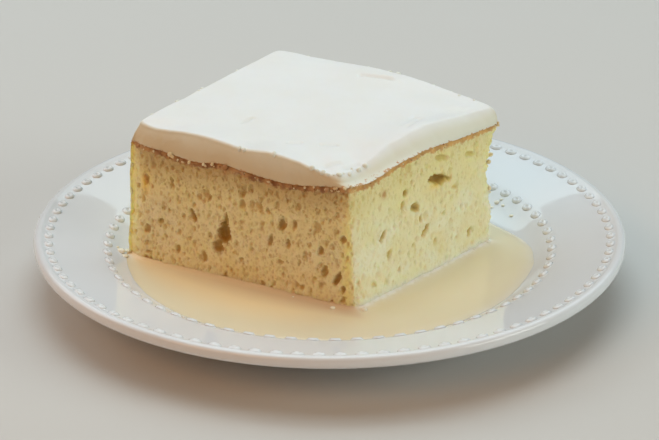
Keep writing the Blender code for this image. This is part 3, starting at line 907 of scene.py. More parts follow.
def spongeWall(places, side):  # the cut sides before their pores, and where each of their points is
    base = evenOut(outline(cakeCut["baseCorners"], places), sponge["cornerPasses"])
    crust = evenOut(outline(cakeCut["crustCorners"], places), sponge["cornerPasses"])
    foot = plateUnder(base) + cakeCut["gap"]  # the soaked foot lies on the plate
    top = evenOut(edgeHeights("crust", places), cakeCut["linePasses"])
    share = np.linspace(0, 1, sponge["levels"] + 1)[:, None]
    flat = base[None] + (crust - base)[None] * share[..., None]
    z = foot[None] + (top - foot)[None] * share
    wall = np.dstack([flat, z]).reshape(-1, 3)
    away = np.concatenate([outwards(ring) for ring in flat])
    under = (top[None] - z).ravel()
    shift = cakeCut["roughness"] * waves(wall, cakeCut["roughWaves"])
    drawnIn, reach = sponge["groove"]
    shift -= drawnIn * bell(under, reach)
    rough, reach = sponge["crustRough"]
    shift += rough * waves(wall, sponge["crustWaves"]) * bell(under, reach)
    # the right corner is torn and slightly hollow
    deep, middleZ, tall, wide = sponge["rightHollow"]
    toCorner = np.linalg.norm(wall[:, :2] - np.array(cakeCut["crustCorners"][2]), axis=1)
    shift -= deep * bell(toCorner, wide) * bell(wall[:, 2] - middleZ, tall)
    shift += sponge["cornerTorn"] * bell(toCorner, wide) * waves(wall, sponge["cornerWaves"])
    wall[:, :2] += away * shift[:, None]
    lengths = []
    for key in ("baseCorners", "crustCorners"):
        lengths.append(np.array([math.dist(*cutSide(cakeCut[key], s)) for s in range(4)])[side])
    t = np.array([t for _, t in places])
    along = (t * (lengths[0] + (lengths[1] - lengths[0]) * share)).ravel()
    return wall, along, (z - plateDesign["floorTop"]).ravel(), under


def spongeShades(wall, along, up, under, side):  # what the pores and the colours read at each point
    levels = sponge["levels"] + 1
    allSides = np.tile(side, levels)
    torn = waves(wall, sponge["raggedWaves"])
    pits = np.zeros(len(wall))
    for number, pores in enumerate((sponge["leftPores"], sponge["rightPores"])):
        here = allSides == number
        pits[here] = pitDepths(along[here], up[here], pores, torn[here])
    (begin, over), (low, high) = sponge["poresFrom"], sponge["poresAbove"]
    mask = np.clip((under - begin) / over, 0, 1) * np.clip((up - low) / high, 0, 1)
    mask *= np.tile(bySide(sponge["openness"], side, sponge["sidePasses"]), levels)
    # painted shade: how far each point lies on the sides in shade
    sidesInShade = np.tile(bySide(sponge["sidesInShade"], side, sponge["sidePasses"]), levels)
    shades = {"namedPit": pits * mm, "wallMask": mask, "underCrust": under, "sidesInShade": sidesInShade}
    for stain in ("yellowedAndLitEdge", "amber", "browned"):
        shades[stain] = stainShares(along, up, allSides, sponge[stain])
    shades["browned"] *= np.clip(sponge["stainRagged"] + torn, 0, 1)
    return shades


def makeSponge():
    places = stations(sponge["step"], sponge["backStep"])
    side = np.array([s for s, _ in places])
    wall, *where = spongeWall(places, side)
    shades = spongeShades(wall, *where, side)
    # close the wall below on the plate and above under the cream
    count = len(places)
    wall = wall.reshape(-1, count, 3)
    foot, top = wall[0][:, :2].mean(axis=0), wall[-1].mean(axis=0)
    below, above = [], []
    for scale in sponge["capRings"]:
        flat = foot + (wall[0][:, :2] - foot) * scale
        below.insert(0, np.column_stack([flat, plateUnder(flat) + cakeCut["gap"]]))
        above.append(top + (wall[-1] - top) * scale)
    stack = np.concatenate([below, wall, above])
    points = np.vstack([stack.reshape(-1, 3), (*foot, plateDesign["floorTop"] + cakeCut["gap"]), top])
    caps = len(below) * count
    for label, values in shades.items():
        around = sponge["capUnder"] if label == "underCrust" else 0.0
        shades[label] = np.concatenate([np.full(caps, around), values, np.full(caps + 2, around)])
    total = len(stack) * count
    piece = addPiece("openCrumbSponge", points, loftFaces(len(stack), count, total, total + 1), None, shades)
    tidyMesh(piece)
    rule = {"Stretch": sponge["stretch"], "Warp": sponge["warp"], "Grain": sponge["grain"] * mm}
    rule["Seed"] = float(sponge["seed"])
    for size in ("coarse", "middle", "fine"):
        for label, value, unit in zip(("Cell", "Share", "Depth"), sponge[size], (mm, 1, 1)):
            rule[f"{size.title()} {label}"] = float(value * unit)
    runTree(piece, crumbTree(crumbMaterial()), rule)
    piece.data.shade_smooth()
    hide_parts("sponge")
    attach(piece, "root")


makeSponge()
print("sponge is made")


# Whipped cream: a thick layer with a soft upper edge and spatula marks
cream = {
    "step": 0.60,
    "sideLevels": 11,
    "lowPasses": 9,  # how far the lower and upper outlines and the upper edge are evened out
    "highPasses": 4,
    "edgePasses": 40,
    "edgeRounds": (1.1, 4.2, 1.3, 1.6),  # crisp on the left side, a soft bevel on the right
    "roundPasses": 90,
    "softness": (0.05, 1.0, 0.5, 0.3),  # how far each side's profile is evened out
    "softPasses": 34,
    "edgeSteps": 8,
    "edgeReach": 9,  # how far in from the edge its swells are felt
    "overhang": 0.35,
    "tuck": (1.2, 0.5),  # how far the hidden lower edge is drawn in and down
    "roundMost": 0.8,  # of the cream's height
    "bellyTuck": 0.15,
    "fullHeight": 5,  # from which the side has its full belly and waves
    "roughness": 0.35,
    "topStep": 0.019,  # share of the way to the middle between rings
    "topEnd": 0.02,
    "floorRings": (0.4, 0.8),
    "swells": ((0.030, 0.50), (0.085, 0.20), (0.21, 0.08)),  # frequency and height over the top
    "swellRise": 9,  # how fast they begin inside the edge
    # marks of the spatula: start, end, half width, depth
    "marks": (
        ((10.4, 32.8), (21.0, 28.4), 0.7, 0.70), ((12.5, 33.0), (22.0, 30.0), 1.2, -0.30),
        ((25.6, -11.9), (30.1, -4.0), 0.7, 0.60), ((23.6, -9.5), (28.6, -1.5), 0.7, 0.40),
        ((-28.6, -2.4), (-26.0, 0.9), 0.7, 0.60), ((-2.8, -20.8), (2.2, -20.6), 0.7, 0.75),
        ((-13.2, -19.3), (-9.5, -19.0), 0.7, 0.50), ((-1.0, -35.5), (3.5, -33.0), 0.8, 0.60),
        ((5.5, -36.0), (9.5, -32.5), 0.8, 0.60), ((8.0, -40.0), (13.0, -35.0), 0.8, 0.45),
    ),
    "sideWaves": ((0.16, 0.40), (0.5, 0.32), (1.3, 0.16)),
    "sideRough": (0.3, 0.6),  # share of the waves on a low side, and their height in all
    "sideRise": 4,  # how fast they begin above the lower edge
    "raggedLine": (0.40, 0.10, 0.3, 0.3),  # how far the lower edge wanders up and down on each side
    "raggedPasses": 12,
    "raggedWaves": ((0.35, 0.6), (0.9, 0.5)),
    "shade": (1.0, 0.1, 1.0, 1.0),  # how far each side gets the painted shade, with a little stain from the crust
    "shadePasses": 20,
    "finish": {
        "ior": 1.42,
        "softWeight": 0.25,
        "softTint": (1.0, 0.85, 0.7),
        "softDepth": 2.2,
        "white": (0.88, 0.90, 0.895),
        "warm": (0.87, 0.885, 0.865),
        "cloud": (60, 3, 0.5, 0.35, 0.7),
        "side": (0.825, 0.84, 0.70),
        "sideShare": 0.8,
        # painted shade in the spatula marks
        "markShade": (0.79, 0.81, 0.78),
        "markedShare": 0.35,
        "markedDepth": 0.6,  # at which a mark has its full painted shade
        # painted shade on the cream's sides in shade
        "creamSideShade": (0.70, 0.57, 0.36),
        "creamSideShadeReach": (9.0, 1.0, 0.3, 0.9),  # heights above the crust, and the painted shade's share at each
        "specks": (0.62, 0.36, 0.17),
        "speckHeight": (620, 3, 0.65, 0.45, 0.72, 0.0, 1.0),
        "speckFade": 0.4,
        "roughness": (240, 3, 0.5, 0.3, 0.7, 0.42, 0.58),
        "reliefs": ((260, 3, 0.55, 0.35, 0.30), (1500, 3, 0.6, 0.30, 0.10)),
    },
}


def creamMaterial():
    finish = cream["finish"]
    material, tree, place = newMaterial("spreadCream", finish)
    above, onSide = readAttribute(tree, "aboveCrust"), readAttribute(tree, "onSide")
    tone = blend(tree, patches(tree, place, finish["cloud"]), finish["white"], finish["warm"])
    tone = blend(tree, times(tree, onSide, finish["sideShare"]), tone, finish["side"])
    # painted shade in the grooves of the spatula marks
    markShade = times(tree, readAttribute(tree, "markShade"), finish["markedShare"])
    tone = blend(tree, markShade, tone, finish["markShade"])
    # painted shade on the cream's sides that lie in shade, strongest near the lower edge, where a little of
    # the browned crust also stains it
    creamSideShade = times(tree, rise(tree, above, *finish["creamSideShadeReach"]), readAttribute(tree, "shadedSide"))
    tone = blend(tree, creamSideShade, tone, finish["creamSideShade"])
    reach = patches(tree, place, finish["speckHeight"])
    specks = times(tree, rise(tree, above, reach, times(tree, reach, finish["speckFade"])), onSide)
    tone = blend(tree, specks, tone, finish["specks"])
    roughness = patches(tree, place, finish["roughness"])
    return finishMaterial(material, tone, roughness, roughen(tree, place, finish["reliefs"]))


def markDepths(spots):
    depth = np.zeros(len(spots))
    for start, end, wide, deep in cream["marks"]:
        start, run = np.array(start), np.subtract(end, start)
        share = np.clip((spots - start) @ run / (run @ run), 0, 1)
        off = np.linalg.norm(spots - start - share[:, None] * run, axis=1)
        depth += deep * bell(off, wide)
    return depth


def creamSides(places, side, crustZ):  # from the hidden lower edge up over the rounded upper edge
    low = evenOut(outline(cakeCut["crustCorners"], places), cream["lowPasses"])
    high = evenOut(outline(cakeCut["creamCorners"], places, turned=False), cream["highPasses"])
    creamZ = evenOut(edgeHeights("cream", places), cream["edgePasses"])
    away, awayHigh = outwards(low), outwards(high)
    low = roughened(low, crustZ, away, cakeCut["roughness"])
    high = roughened(high, creamZ, awayHigh, cream["roughness"])
    wander = np.abs(waves(np.column_stack([low, crustZ]), cream["raggedWaves"]))
    lowerZ = crustZ + wander * bySide(cream["raggedLine"], side, cream["raggedPasses"])
    edgeRound = bySide(cream["edgeRounds"], side, cream["roundPasses"])
    edgeRound = np.minimum(edgeRound, cream["roundMost"] * (creamZ - crustZ))
    upperZ = creamZ - edgeRound
    tall = np.clip((upperZ - crustZ) / cream["fullHeight"], 0, 1)
    inwards, down = cream["tuck"]
    hidden = np.column_stack([low - away * inwards, crustZ - down])
    least, rough = cream["sideRough"]
    rings = []
    for share in np.linspace(0, 1, cream["sideLevels"] + 1):
        flat = low + (high - low) * share
        z = lowerZ * (1 - share) + upperZ * share
        belly = tall * (cream["overhang"] * math.sin(math.pi * share) - cream["bellyTuck"] * (1 - share))
        bumps = waves(np.column_stack([flat, z]), cream["sideWaves"]) * min(1, cream["sideRise"] * share)
        bumps = bumps * rough * (least + (1 - least) * tall)
        rings.append(np.column_stack([flat + away * (belly + bumps)[:, None], z]))
    for turn in np.linspace(0, math.pi / 2, cream["edgeSteps"] + 1)[1:]:
        inside = edgeRound * (1 - math.cos(turn)) - bumps * math.cos(turn)
        flat = high - awayHigh * inside[:, None]
        rings.append(np.column_stack([flat, upperZ + edgeRound * math.sin(turn)]))
    # some sides have a softer profile than others
    softness = bySide(cream["softness"], side, cream["roundPasses"])[None, :, None]
    profile = np.array(rings)
    eased = profile.copy()
    for _ in range(cream["softPasses"]):
        eased[1:-1] = (eased[:-2] + 2 * eased[1:-1] + eased[2:]) / 4
    return [hidden, *(profile * (1 - softness) + eased * softness)]


def creamTop(edge):  # one gentle slope, in which the edge's own swells die away inwards
    middle = edge.mean(axis=0)
    slope = np.linalg.lstsq(np.column_stack([edge[:, :2], np.ones(len(edge))]), edge[:, 2], rcond=None)[0]
    extra = edge[:, 2] - edge[:, :2] @ slope[:2] - slope[2]
    width = np.linalg.norm(edge[:, :2] - middle[:2], axis=1)
    rings = []
    for scale in np.arange(1 - cream["topStep"], cream["topEnd"], -cream["topStep"]):
        ring = middle + (edge - middle) * scale
        swell = extra * bell((1 - scale) * width, cream["edgeReach"])
        ring[:, 2] = ring[:, :2] @ slope[:2] + slope[2] + swell
        fade = min(1, (1 - scale) * cream["swellRise"])
        ring[:, 2] += fade * waves(np.column_stack([ring[:, :2], np.zeros(len(ring))]), cream["swells"])
        ring[:, 2] -= markDepths(ring[:, :2])
        rings.append(ring)
    return rings


def makeCream(material):
    places = stations(cream["step"])
    count = len(places)
    side = np.array([s for s, _ in places])
    crustZ = evenOut(edgeHeights("crust", places), cakeCut["linePasses"])
    rings = creamSides(places, side, crustZ)
    bottom = rings[0]
    centre = bottom.mean(axis=0)
    floor = [centre + (bottom - centre) * scale for scale in cream["floorRings"]]
    stack = np.array(floor + rings + creamTop(rings[-1]))
    points = np.vstack([stack.reshape(-1, 3), centre, stack[-1].mean(axis=0)])
    onSide = np.zeros((len(stack), count))
    sideEnd = len(floor) + cream["sideLevels"] + 2
    onSide[len(floor):sideEnd] = 1
    onSide[sideEnd:sideEnd + cream["edgeSteps"]] = np.linspace(0.95, 0.0, cream["edgeSteps"])[:, None]
    shadedSide = onSide * bySide(cream["shade"], side, cream["shadePasses"])
    onSide, shadedSide = (np.concatenate([values.ravel(), (0, 0)]) for values in (onSide, shadedSide))
    # how deep each point lies in a spatula mark, for its painted shade
    markShade = np.clip(markDepths(points[:, :2]) / cream["finish"]["markedDepth"], 0, 1)
    shades = {
        "markShade": markShade * (1 - onSide),
        "aboveCrust": points[:, 2] - np.concatenate([np.tile(crustZ, len(stack)), (0, 0)]),
        "onSide": onSide,
        "shadedSide": shadedSide,
    }
    total = len(stack) * count
    faces = loftFaces(len(stack), count, total, total + 1)
    piece = addPiece("spreadCreamTop", points, faces, material, shades)
    tidyMesh(piece)
    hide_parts("whipped_cream")
    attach(piece, "root")


spreadCream = creamMaterial()
makeCream(spreadCream)
print("cream is made")


# Milk: a shallow pool round the slice, with a meniscus and a thin edge
milk = {
    "level": 11.3,
    "edge": 68.9,
    # angle, how far the edge is drawn in there, reach in degrees
    "drawnIn": ((28, 6.0, 15), (-90, 1.9, 24), (150, 1.2, 30)),
    "edgeWaves": ((0.05, 0.7), (0.16, 0.25)),
    "step": 0.9,
    "climb": 0.9,  # of the meniscus on the sponge
    "climbReach": 0.8,
    "rings": (-1.4, -0.4, 0.0, 0.15, 0.3, 0.5, 0.8, 1.2, 1.8, 2.8),
    "openRings": (0.12, 0.3, 0.5, 0.7, 0.84, 0.92, 0.96, 0.98, 0.992, 0.998, 1.0),
    "nearMost": 0.25,  # of the pool's width that the rings next to the foot may take
    "evenPasses": 3,
    "sidePasses": 8,
    "contact": 2.4,  # over how far the level falls to its edge
    "edgeThickness": 0.03,
    "overPlate": 0.01,
    "underEdge": 0.02,  # how far the underside's edge is drawn in
    "clearDepth": 2.0,  # where it is no longer seen through
    "frothReach": ((0.6, 1.0), (0.4, 3.6)),  # along the right foot: share and reach
    "soakedReach": 7.0,
    "soakedAlong": (-0.1, 1.25),  # share at the left corner, and at the front one before it is capped at 1
    "finish": {
        "ior": 1.35,
        "softWeight": 0.15,
        "softTint": (1.0, 0.8, 0.6),
        "softDepth": 0.6,
        "deep": (0.935, 0.765, 0.475),
        "deepRight": (0.86, 0.80, 0.59),
        "deepAcross": (-30, 35),  # between these places from left to right; the warmer left is painted shade and warm reflection
        "thin": (0.90, 0.86, 0.76),
        "thinFrom": (0.1, 1.0),
        "cloud": (38, 3),  # scale and detail of the noise in it
        "cloudShare": 0.35,
        "outer": (0.80, 0.72, 0.52),  # well out from the slice, in front: painted shade that evens out the light growing brighter away from the slice
        "outerAcross": (10, 50, 1.0, 0.45),
        "outerFrom": (0.3, 0.95),
        "soaked": (0.77, 0.60, 0.41),  # along the left foot, towards the front corner: soaked milk with the painted shade and reflection of the sponge's dark side
        # froth along the right foot, partly a painted highlight where the meniscus catches the light
        "frothAndGlint": (0.97, 0.955, 0.90),
        "frothStreaks": (260, 3, 0.6, 0.35, 0.6, 0.5, 1.0),
        "frothRoughness": 0.40,
        "roughness": (0.3, 0.7, 0.06, 0.12),
        "reliefs": ((55, 2, 0.5, 0.25, 0.10),),
    },
}


def milkMaterial():
    finish = milk["finish"]
    material, tree, place = newMaterial("sweetMilk", finish)
    # painted shade and reflection: the milk is warmer on the left, where it lies in warm shade, and paler on
    # the right
    across = splitUp(tree, place)["X"]
    left, right = finish["deepAcross"]
    tone = blend(tree, rise(tree, across, left * mm, right * mm), finish["deep"], finish["deepRight"])
    cloud = noiseField(tree, place, *finish["cloud"])
    drift = times(tree, minus(tree, cloud, 0.5), finish["cloudShare"])
    thin = rise(tree, plus(tree, readAttribute(tree, "thinness"), drift), *finish["thinFrom"])
    tone = blend(tree, thin, tone, finish["thin"])
    # painted shade: darker well out from the slice, in front
    left, right, *shares = finish["outerAcross"]
    inFront = rise(tree, across, left * mm, right * mm, *shares)
    farOut = rise(tree, readAttribute(tree, "outward"), *finish["outerFrom"])
    tone = blend(tree, times(tree, inFront, farOut), tone, finish["outer"])
    # soaked milk with the painted shade and reflection of the sponge's dark left side, along its foot
    tone = blend(tree, readAttribute(tree, "soaked"), tone, finish["soaked"])
    # froth along the right foot, partly a painted highlight of the meniscus
    frothAndGlint = times(tree, readAttribute(tree, "frothy"), patches(tree, place, finish["frothStreaks"]))
    tone = blend(tree, frothAndGlint, tone, finish["frothAndGlint"])
    roughness = rise(tree, frothAndGlint, 0.0, 1.0, rise(tree, cloud, *finish["roughness"]), finish["frothRoughness"])
    return finishMaterial(material, tone, roughness, roughen(tree, place, finish["reliefs"]))


def poolEdge(angle):
    reach = milk["edge"]
    for centre, inwards, width in milk["drawnIn"]:
        off = (math.degrees(angle) - centre + 180) % 360 - 180
        reach -= inwards * bell(off, width)
    around = Vector((math.cos(angle), math.sin(angle), 0)) * reach
    return reach + sum(h * noise.noise(around * f) for f, h in milk["edgeWaves"])


def poolRim(foot):  # the pool's edge straight out from each point of the slice's foot
    middle = foot.mean(axis=0)
    rim = []
    for heading in outwards(foot):
        back = float(np.dot(middle, heading))
        run = -back + math.sqrt(max(0.0, back**2 - float(np.dot(middle, middle)) + milk["edge"] ** 2))
        spot = middle + heading * run
        angle = math.atan2(spot[1], spot[0])
        rim.append(np.array((math.cos(angle), math.sin(angle))) * poolEdge(angle))
    return evenOut(np.array(rim), milk["evenPasses"])


def makeMilk(material):
    places = stations(milk["step"])
    foot = evenOut(outline(cakeCut["baseCorners"], places), milk["evenPasses"])
    rim = poolRim(foot)
    onRight = evenOut(np.array([float(s == 1) for s, _ in places]), milk["sidePasses"])
    # along the left foot, the milk's share of soaking and of painted shade and reflection
    atLeft, atFront = milk["soakedAlong"]
    soaked = np.array([(atLeft + (atFront - atLeft) * t) * (s == 0) for s, t in places])
    onLeft = evenOut(np.clip(soaked, 0, 1), milk["sidePasses"])
    width = np.maximum(np.linalg.norm(rim - foot, axis=1), 1e-6)
    heading = (rim - foot) / width[:, None]
    most = milk["nearMost"] * width
    near = [np.minimum(d, most) if d > 0 else np.full(len(foot), d) for d in milk["rings"]]
    start = near[-1]
    edgeFall = milk["level"] - plateUnder(rim) - milk["edgeThickness"]
    rings = []
    shades = {"thinness": [], "frothy": [], "outward": [], "soaked": []}
    for run in near + [start + (width - start) * share for share in milk["openRings"]]:
        flat = foot + heading * run[:, None]
        climb = milk["climb"] * np.exp(-np.maximum(run, 0) / milk["climbReach"])
        z = milk["level"] + climb - edgeFall * np.exp(-np.maximum(width - run, 0) / milk["contact"])
        rings.append(np.column_stack([flat, z]))
        shades["thinness"].append(np.clip(1 - (z - plateUnder(flat)) / milk["clearDepth"], 0, 1))
        shades["frothy"].append(onRight * sum(part * bell(run, reach) for part, reach in milk["frothReach"]))
        shades["outward"].append(np.clip(run / width, 0, 1))
        shades["soaked"].append(onLeft * np.exp(-((np.maximum(run, 0) / milk["soakedReach"]) ** 4)))
    # the underside follows the plate back in
    for run in (width - milk["underEdge"], start + (width - start) / 2, near[0]):
        flat = foot + heading * run[:, None]
        rings.append(np.column_stack([flat, plateUnder(flat) + milk["overPlate"]]))
        for values in shades.values():
            values.append(np.zeros(len(foot)))
    stack = np.array(rings)
    levels, count = stack.shape[:2]
    index = np.arange(levels * count).reshape(levels, count)
    ahead = np.roll(index, -1, axis=1)
    corners = [index, np.roll(index, -1, axis=0), np.roll(ahead, -1, axis=0), ahead]
    quads = np.stack(corners, axis=-1).reshape(-1, 4).tolist()
    shades = {label: np.concatenate(values) for label, values in shades.items()}
    piece = addPiece("milkPool", stack.reshape(-1, 3), quads, material, shades)
    tidyMesh(piece)
    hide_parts("milk")
    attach(piece, "root")


makeMilk(milkMaterial())
print("milk is made")


# Loose crumbs, flecks of cream, and bubbles and drops of milk
lumps = {
    "seed": 8,
    "subdivisions": 2,
    "fullTurn": 6.283,  # radians: flat lumps are turned round by up to this, the others every way
    # along the browned line: side, how many, least and greatest radius, how far out
    "crustCrumbs": (
        (0, 34, 0.22, 0.50, 0.15), (1, 14, 0.18, 0.34, 0.10),
        (2, 16, 0.20, 0.45, 0.15), (3, 16, 0.20, 0.45, 0.15),
    ),
    "crumbsAlong": (0.02, 0.98),
    "crumbsUp": (-1.3, 0.2),
    "brownnesses": (0.1, 0.3, 0.7, 1.0),
    # single ones: side, place along it, up or down from the line, radius, brownness
    "namedCrumbs": (
        (0, 0.200, 0.1, 0.85, 0.25), (0, 0.212, -0.5, 0.6, 0.10), (0, 0.288, -0.5, 0.65, 0.1),
        (0, 0.352, -0.3, 0.60, 0.0), (0, 0.393, -0.3, 0.55, 0.1), (0, 0.451, -0.7, 0.85, 1.0),
        (0, 0.532, -0.6, 0.70, 0.9), (0, 0.902, -0.9, 0.90, 0.9), (0, 0.975, 0.1, 0.50, 0.2),
        (0, 0.940, -0.1, 0.45, 0.3), (1, 0.015, 0.2, 0.55, 0.5), (1, 0.985, 0.2, 0.60, 0.3),
        (1, 0.960, -0.4, 0.45, 0.2),
    ),
    "crumbsOut": 0.1,
    # on the torn right corner: out, height, radius
    "cornerCrumbs": (
        (-0.8, 53.8, 0.5), (-2.5, 43.2, 0.9), (-3.1, 40.6, 0.8), (-2.1, 31.0, 0.8), (-2.0, 29.4, 0.6),
    ),
    "cornerBrownness": (0.0, 0.15),
    # on the cream's upper edge: side, place along it, inwards, radius
    "creamFlecks": (
        (2, 0.112, 0.9, 1.0), (2, 0.140, 0.6, 0.8), (2, 0.175, 1.1, 1.1), (2, 0.217, 0.8, 0.9),
        (2, 0.300, 0.9, 0.6), (2, 0.465, 0.9, 1.1), (2, 0.500, 0.8, 0.9), (2, 0.600, 0.9, 0.7),
        (2, 0.810, 1.0, 0.9), (2, 0.860, 0.9, 0.6), (3, 0.300, 0.9, 0.7), (3, 0.550, 0.8, 1.0),
        (3, 0.580, 1.2, 0.8), (3, 0.726, 0.8, 1.0), (3, 0.900, 0.8, 0.7), (0, 0.515, 0.5, 0.9),
        (0, 0.535, 0.4, 0.7), (0, 0.680, 0.6, 0.9), (0, 0.860, 0.7, 1.0), (0, 0.885, 0.6, 0.8),
        (0, 0.910, 0.9, 1.1), (0, 0.935, 0.6, 0.8), (0, 0.960, 1.2, 0.8), (1, 0.020, 1.5, 0.9),
        (1, 0.045, 2.2, 0.8), (1, 0.070, 1.6, 0.9), (1, 0.100, 2.4, 0.7), (1, 0.130, 1.8, 0.8),
        (1, 0.170, 2.0, 0.7), (1, 0.060, 3.4, 0.6), (1, 0.115, 3.8, 0.6),
    ),
    # of the flecks on the two front sides and on the two back ones
    "fleckSunk": (-0.5, -0.9),  # share of the radius
    # painted shade on the flecks, as on the cream's sides
    "fleckShade": (0.45, 0.1),
    "fleckOnSide": 0.7,
    "fleckAbove": 6.0,  # height above the crust
    # at the waterline: x, y, radius
    "bubbles": (
        (1.0, -44.9, 0.90), (11.4, -46.4, 1.10), (17.4, -36.8, 0.60), (19.6, -34.2, 0.70),
        (33.3, -16.6, 0.60), (34.6, -15.2, 0.45), (40.1, -8.7, 0.75), (44.3, -4.0, 0.80),
        (49.0, 1.4, 0.90), (54.0, 7.6, 1.00), (-34.4, -22.6, 0.55), (-12.0, -36.4, 0.40),
    ),
    "bubbleLift": 0.25,
    # drops lying on the plate: x, y, radius
    "drops": (
        (56.6, 38.6, 0.8), (58.6, 40.2, 1.2), (60.2, 40.6, 0.7), (60.6, 37.4, 0.9), (63.2, 30.0, 0.8),
        (-70.8, -0.6, 1.7), (-69.0, 1.4, 1.2), (-69.3, -3.2, 1.2), (-71.9, 1.0, 0.7),
    ),
    "dropLift": 0.1,
    "dentScale": 1100,
    # lumpiness, unevenness, height against width
    "crumbShape": (0.7, 0.3, 1.0),
    "fleckShape": (0.8, 0.35, 1.0),
    "bubbleShape": (0.1, 0.1, 0.6),
    "dropShape": (0.1, 0.2, 0.45),
    "crumbFinish": {
        "ior": 1.4,
        "pale": (0.93, 0.86, 0.60),
        "golden": (0.88, 0.70, 0.38),
        "brown": (0.42, 0.20, 0.07),
        "patchy": (700, 3, 0.6, 0.35, 0.65),
        "roughness": (0.45, 0.65),
        "reliefs": ((3000, 2, 0.6, 0.5, 0.12),),
    },
    "dropFinish": {
        "ior": 1.35,
        "softWeight": 0.1,
        "softTint": (1.0, 0.8, 0.6),
        "softDepth": 0.4,
        # bubbles of froth, their pale tone partly a painted highlight
        "frothAndGlint": ((0.93, 0.90, 0.80), (0.91, 0.85, 0.68)),
        "drop": ((0.92, 0.90, 0.82), (0.92, 0.86, 0.66)),
        "patchy": (260, 2, 0.5, 0.35, 0.65),
        "roughness": (0.12, 0.26),
    },
}


def looseCrumbMaterial():
    finish = lumps["crumbFinish"]
    material, tree, place = newMaterial("looseCrumb", finish)
    patchy = patches(tree, place, finish["patchy"])
    tone = blend(tree, patchy, finish["pale"], finish["golden"])
    tone = blend(tree, readAttribute(tree, "brownness"), tone, finish["brown"])
    roughness = rise(tree, patchy, 0.0, 1.0, *finish["roughness"])
    return finishMaterial(material, tone, roughness, roughen(tree, place, finish["reliefs"]))


def dropMaterial(name, key):
    finish = lumps["dropFinish"]
    material, tree, place = newMaterial(name, finish)
    patchy = patches(tree, place, finish["patchy"])
    roughness = rise(tree, patchy, 0.0, 1.0, *finish["roughness"])
    return finishMaterial(material, blend(tree, patchy, *finish[key]), roughness)


def lumpTree(material):
    sizes = [(label, "Float") for label in ("Lumpiness", "Uneven", "Flatness")]
    tree, given, out = newTree("scatteredLumps", sizes + [("Turn", "Vector"), ("Seed", "Int")])
    size = pointValue(tree, "size")
    ball = wired(tree, "GeometryNodeMeshIcoSphere", {"Radius": 1, "Subdivisions": lumps["subdivisions"]})
    turns = {0: (0, 0, 0), 1: given["Turn"], "Seed": given["Seed"]}
    turn = wired(tree, "FunctionNodeRandomValue", turns, data_type="FLOAT_VECTOR").outputs[0]
    least, most = (calc(tree, sign, 1.0, given["Uneven"]) for sign in ("SUBTRACT", "ADD"))
    widths = {0: vectorOf(tree, least, least, least), 1: vectorOf(tree, most, most, most)}
    widths["Seed"] = plus(tree, given["Seed"], 1.0)
    wide = wired(tree, "FunctionNodeRandomValue", widths, data_type="FLOAT_VECTOR").outputs[0]
    flat = vectorOf(tree, 1, 1, given["Flatness"])
    scale = vectorCalc(tree, "SCALE", vectorCalc(tree, "MULTIPLY", wide, flat), size)
    fed = {"Points": given["Geometry"], "Instance": ball.outputs[0], "Rotation": turn, "Scale": scale}
    placed = wired(tree, "GeometryNodeInstanceOnPoints", fed)
    real = wired(tree, "GeometryNodeRealizeInstances", {0: placed.outputs[0]})
    # each lump is dented by noise, in step with its own size
    dents = minus(tree, noiseField(tree, herePoint(tree), lumps["dentScale"], 2), 0.5)
    moved = pushOut(tree, real.outputs[0], times(tree, dents, given["Lumpiness"], size))
    smooth = wired(tree, "GeometryNodeSetShadeSmooth", {"Geometry": moved}).outputs[0]
    finishTree(tree, smooth, material, out)
    return tree


def scatter(name, spots, material, shape, extra=None):  # spots: x, y, z, radius
    spots = np.array(spots, dtype=float)
    piece = addPiece(name, spots[:, :3], [], None, {"size": spots[:, 3] * mm} | (extra or {}))
    lumpy, uneven, flat = shape
    turn = (0.0, 0.0, lumps["fullTurn"]) if flat < 1 else (lumps["fullTurn"],) * 3
    values = {"Lumpiness": lumpy, "Uneven": uneven, "Flatness": flat, "Turn": turn, "Seed": lumps["seed"]}
    runTree(piece, lumpTree(material), values)
    tidyMesh(piece)
    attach(piece, "root")


def edgeSpot(kind, side, t, out, up):  # a point on the crust's or the cream's edge
    corners = cakeCut[kind + "Corners"]
    start, end = map(Vector, cutSide(corners, side))
    run = (end - start).normalized()
    x, y = outline(corners, [(side, t)])[0] + np.array((run.y, -run.x)) * out
    return x, y, edgeHeights(kind, [(side, t)])[0] + up


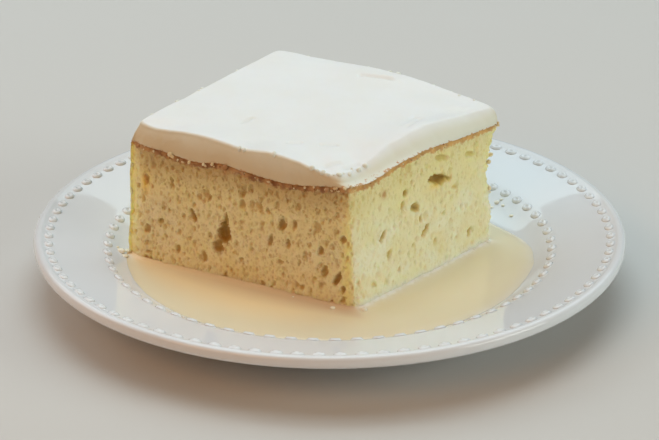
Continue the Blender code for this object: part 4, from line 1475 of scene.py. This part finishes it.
def crumbSpots(draw):
    spots, brownness = [], []
    for side, count, least, most, out in lumps["crustCrumbs"]:
        for _ in range(count):
            up = draw.uniform(*lumps["crumbsUp"])
            spot = edgeSpot("crust", side, draw.uniform(*lumps["crumbsAlong"]), out, up)
            spots.append((*spot, draw.uniform(least, most)))
            brownness.append(draw.choice(lumps["brownnesses"]))
    for side, t, up, radius, brown in lumps["namedCrumbs"]:
        spots.append((*edgeSpot("crust", side, t, lumps["crumbsOut"], up), radius))
        brownness.append(brown)
    base, crust = (Vector(cakeCut[key][2]) for key in ("baseCorners", "crustCorners"))
    for out, height, radius in lumps["cornerCrumbs"]:
        share = (height - plateDesign["floorTop"]) / (cakeCut["crustHeights"][2] - plateDesign["floorTop"])
        spots.append((*(base.lerp(crust, share) + crust.normalized() * out), height, radius))
        brownness.append(draw.uniform(*lumps["cornerBrownness"]))
    return spots, brownness


def makeLumps():
    spots, brownness = crumbSpots(random.Random(lumps["seed"]))
    crumbLook = looseCrumbMaterial()
    scatter("looseCrumbs", spots, crumbLook, lumps["crumbShape"], {"brownness": brownness})
    flecks, creamSideShade = [], []
    for side, t, inside, radius in lumps["creamFlecks"]:
        back = int(side > 1)
        flecks.append((*edgeSpot("cream", side, t, -inside, lumps["fleckSunk"][back] * radius), radius))
        # painted shade on each fleck
        creamSideShade.append(lumps["fleckShade"][back])
    onSide, above = (np.full(len(flecks), lumps[key]) for key in ("fleckOnSide", "fleckAbove"))
    shades = {"onSide": onSide, "shadedSide": creamSideShade, "aboveCrust": above}
    scatter("creamFlecks", flecks, spreadCream, lumps["fleckShape"], shades)
    frothAndGlint = [(x, y, milk["level"] + lumps["bubbleLift"], radius) for x, y, radius in lumps["bubbles"]]
    scatter("milkBubbles", frothAndGlint, dropMaterial("frothyMilk", "frothAndGlint"), lumps["bubbleShape"])
    lift = lumps["dropLift"]
    drops = [(x, y, plateTop(math.hypot(x, y)) + lift, radius) for x, y, radius in lumps["drops"]]
    scatter("milkDrops", drops, dropMaterial("milkDrop", "drop"), lumps["dropShape"])


makeLumps()
print("crumbs, flecks and drops are scattered")
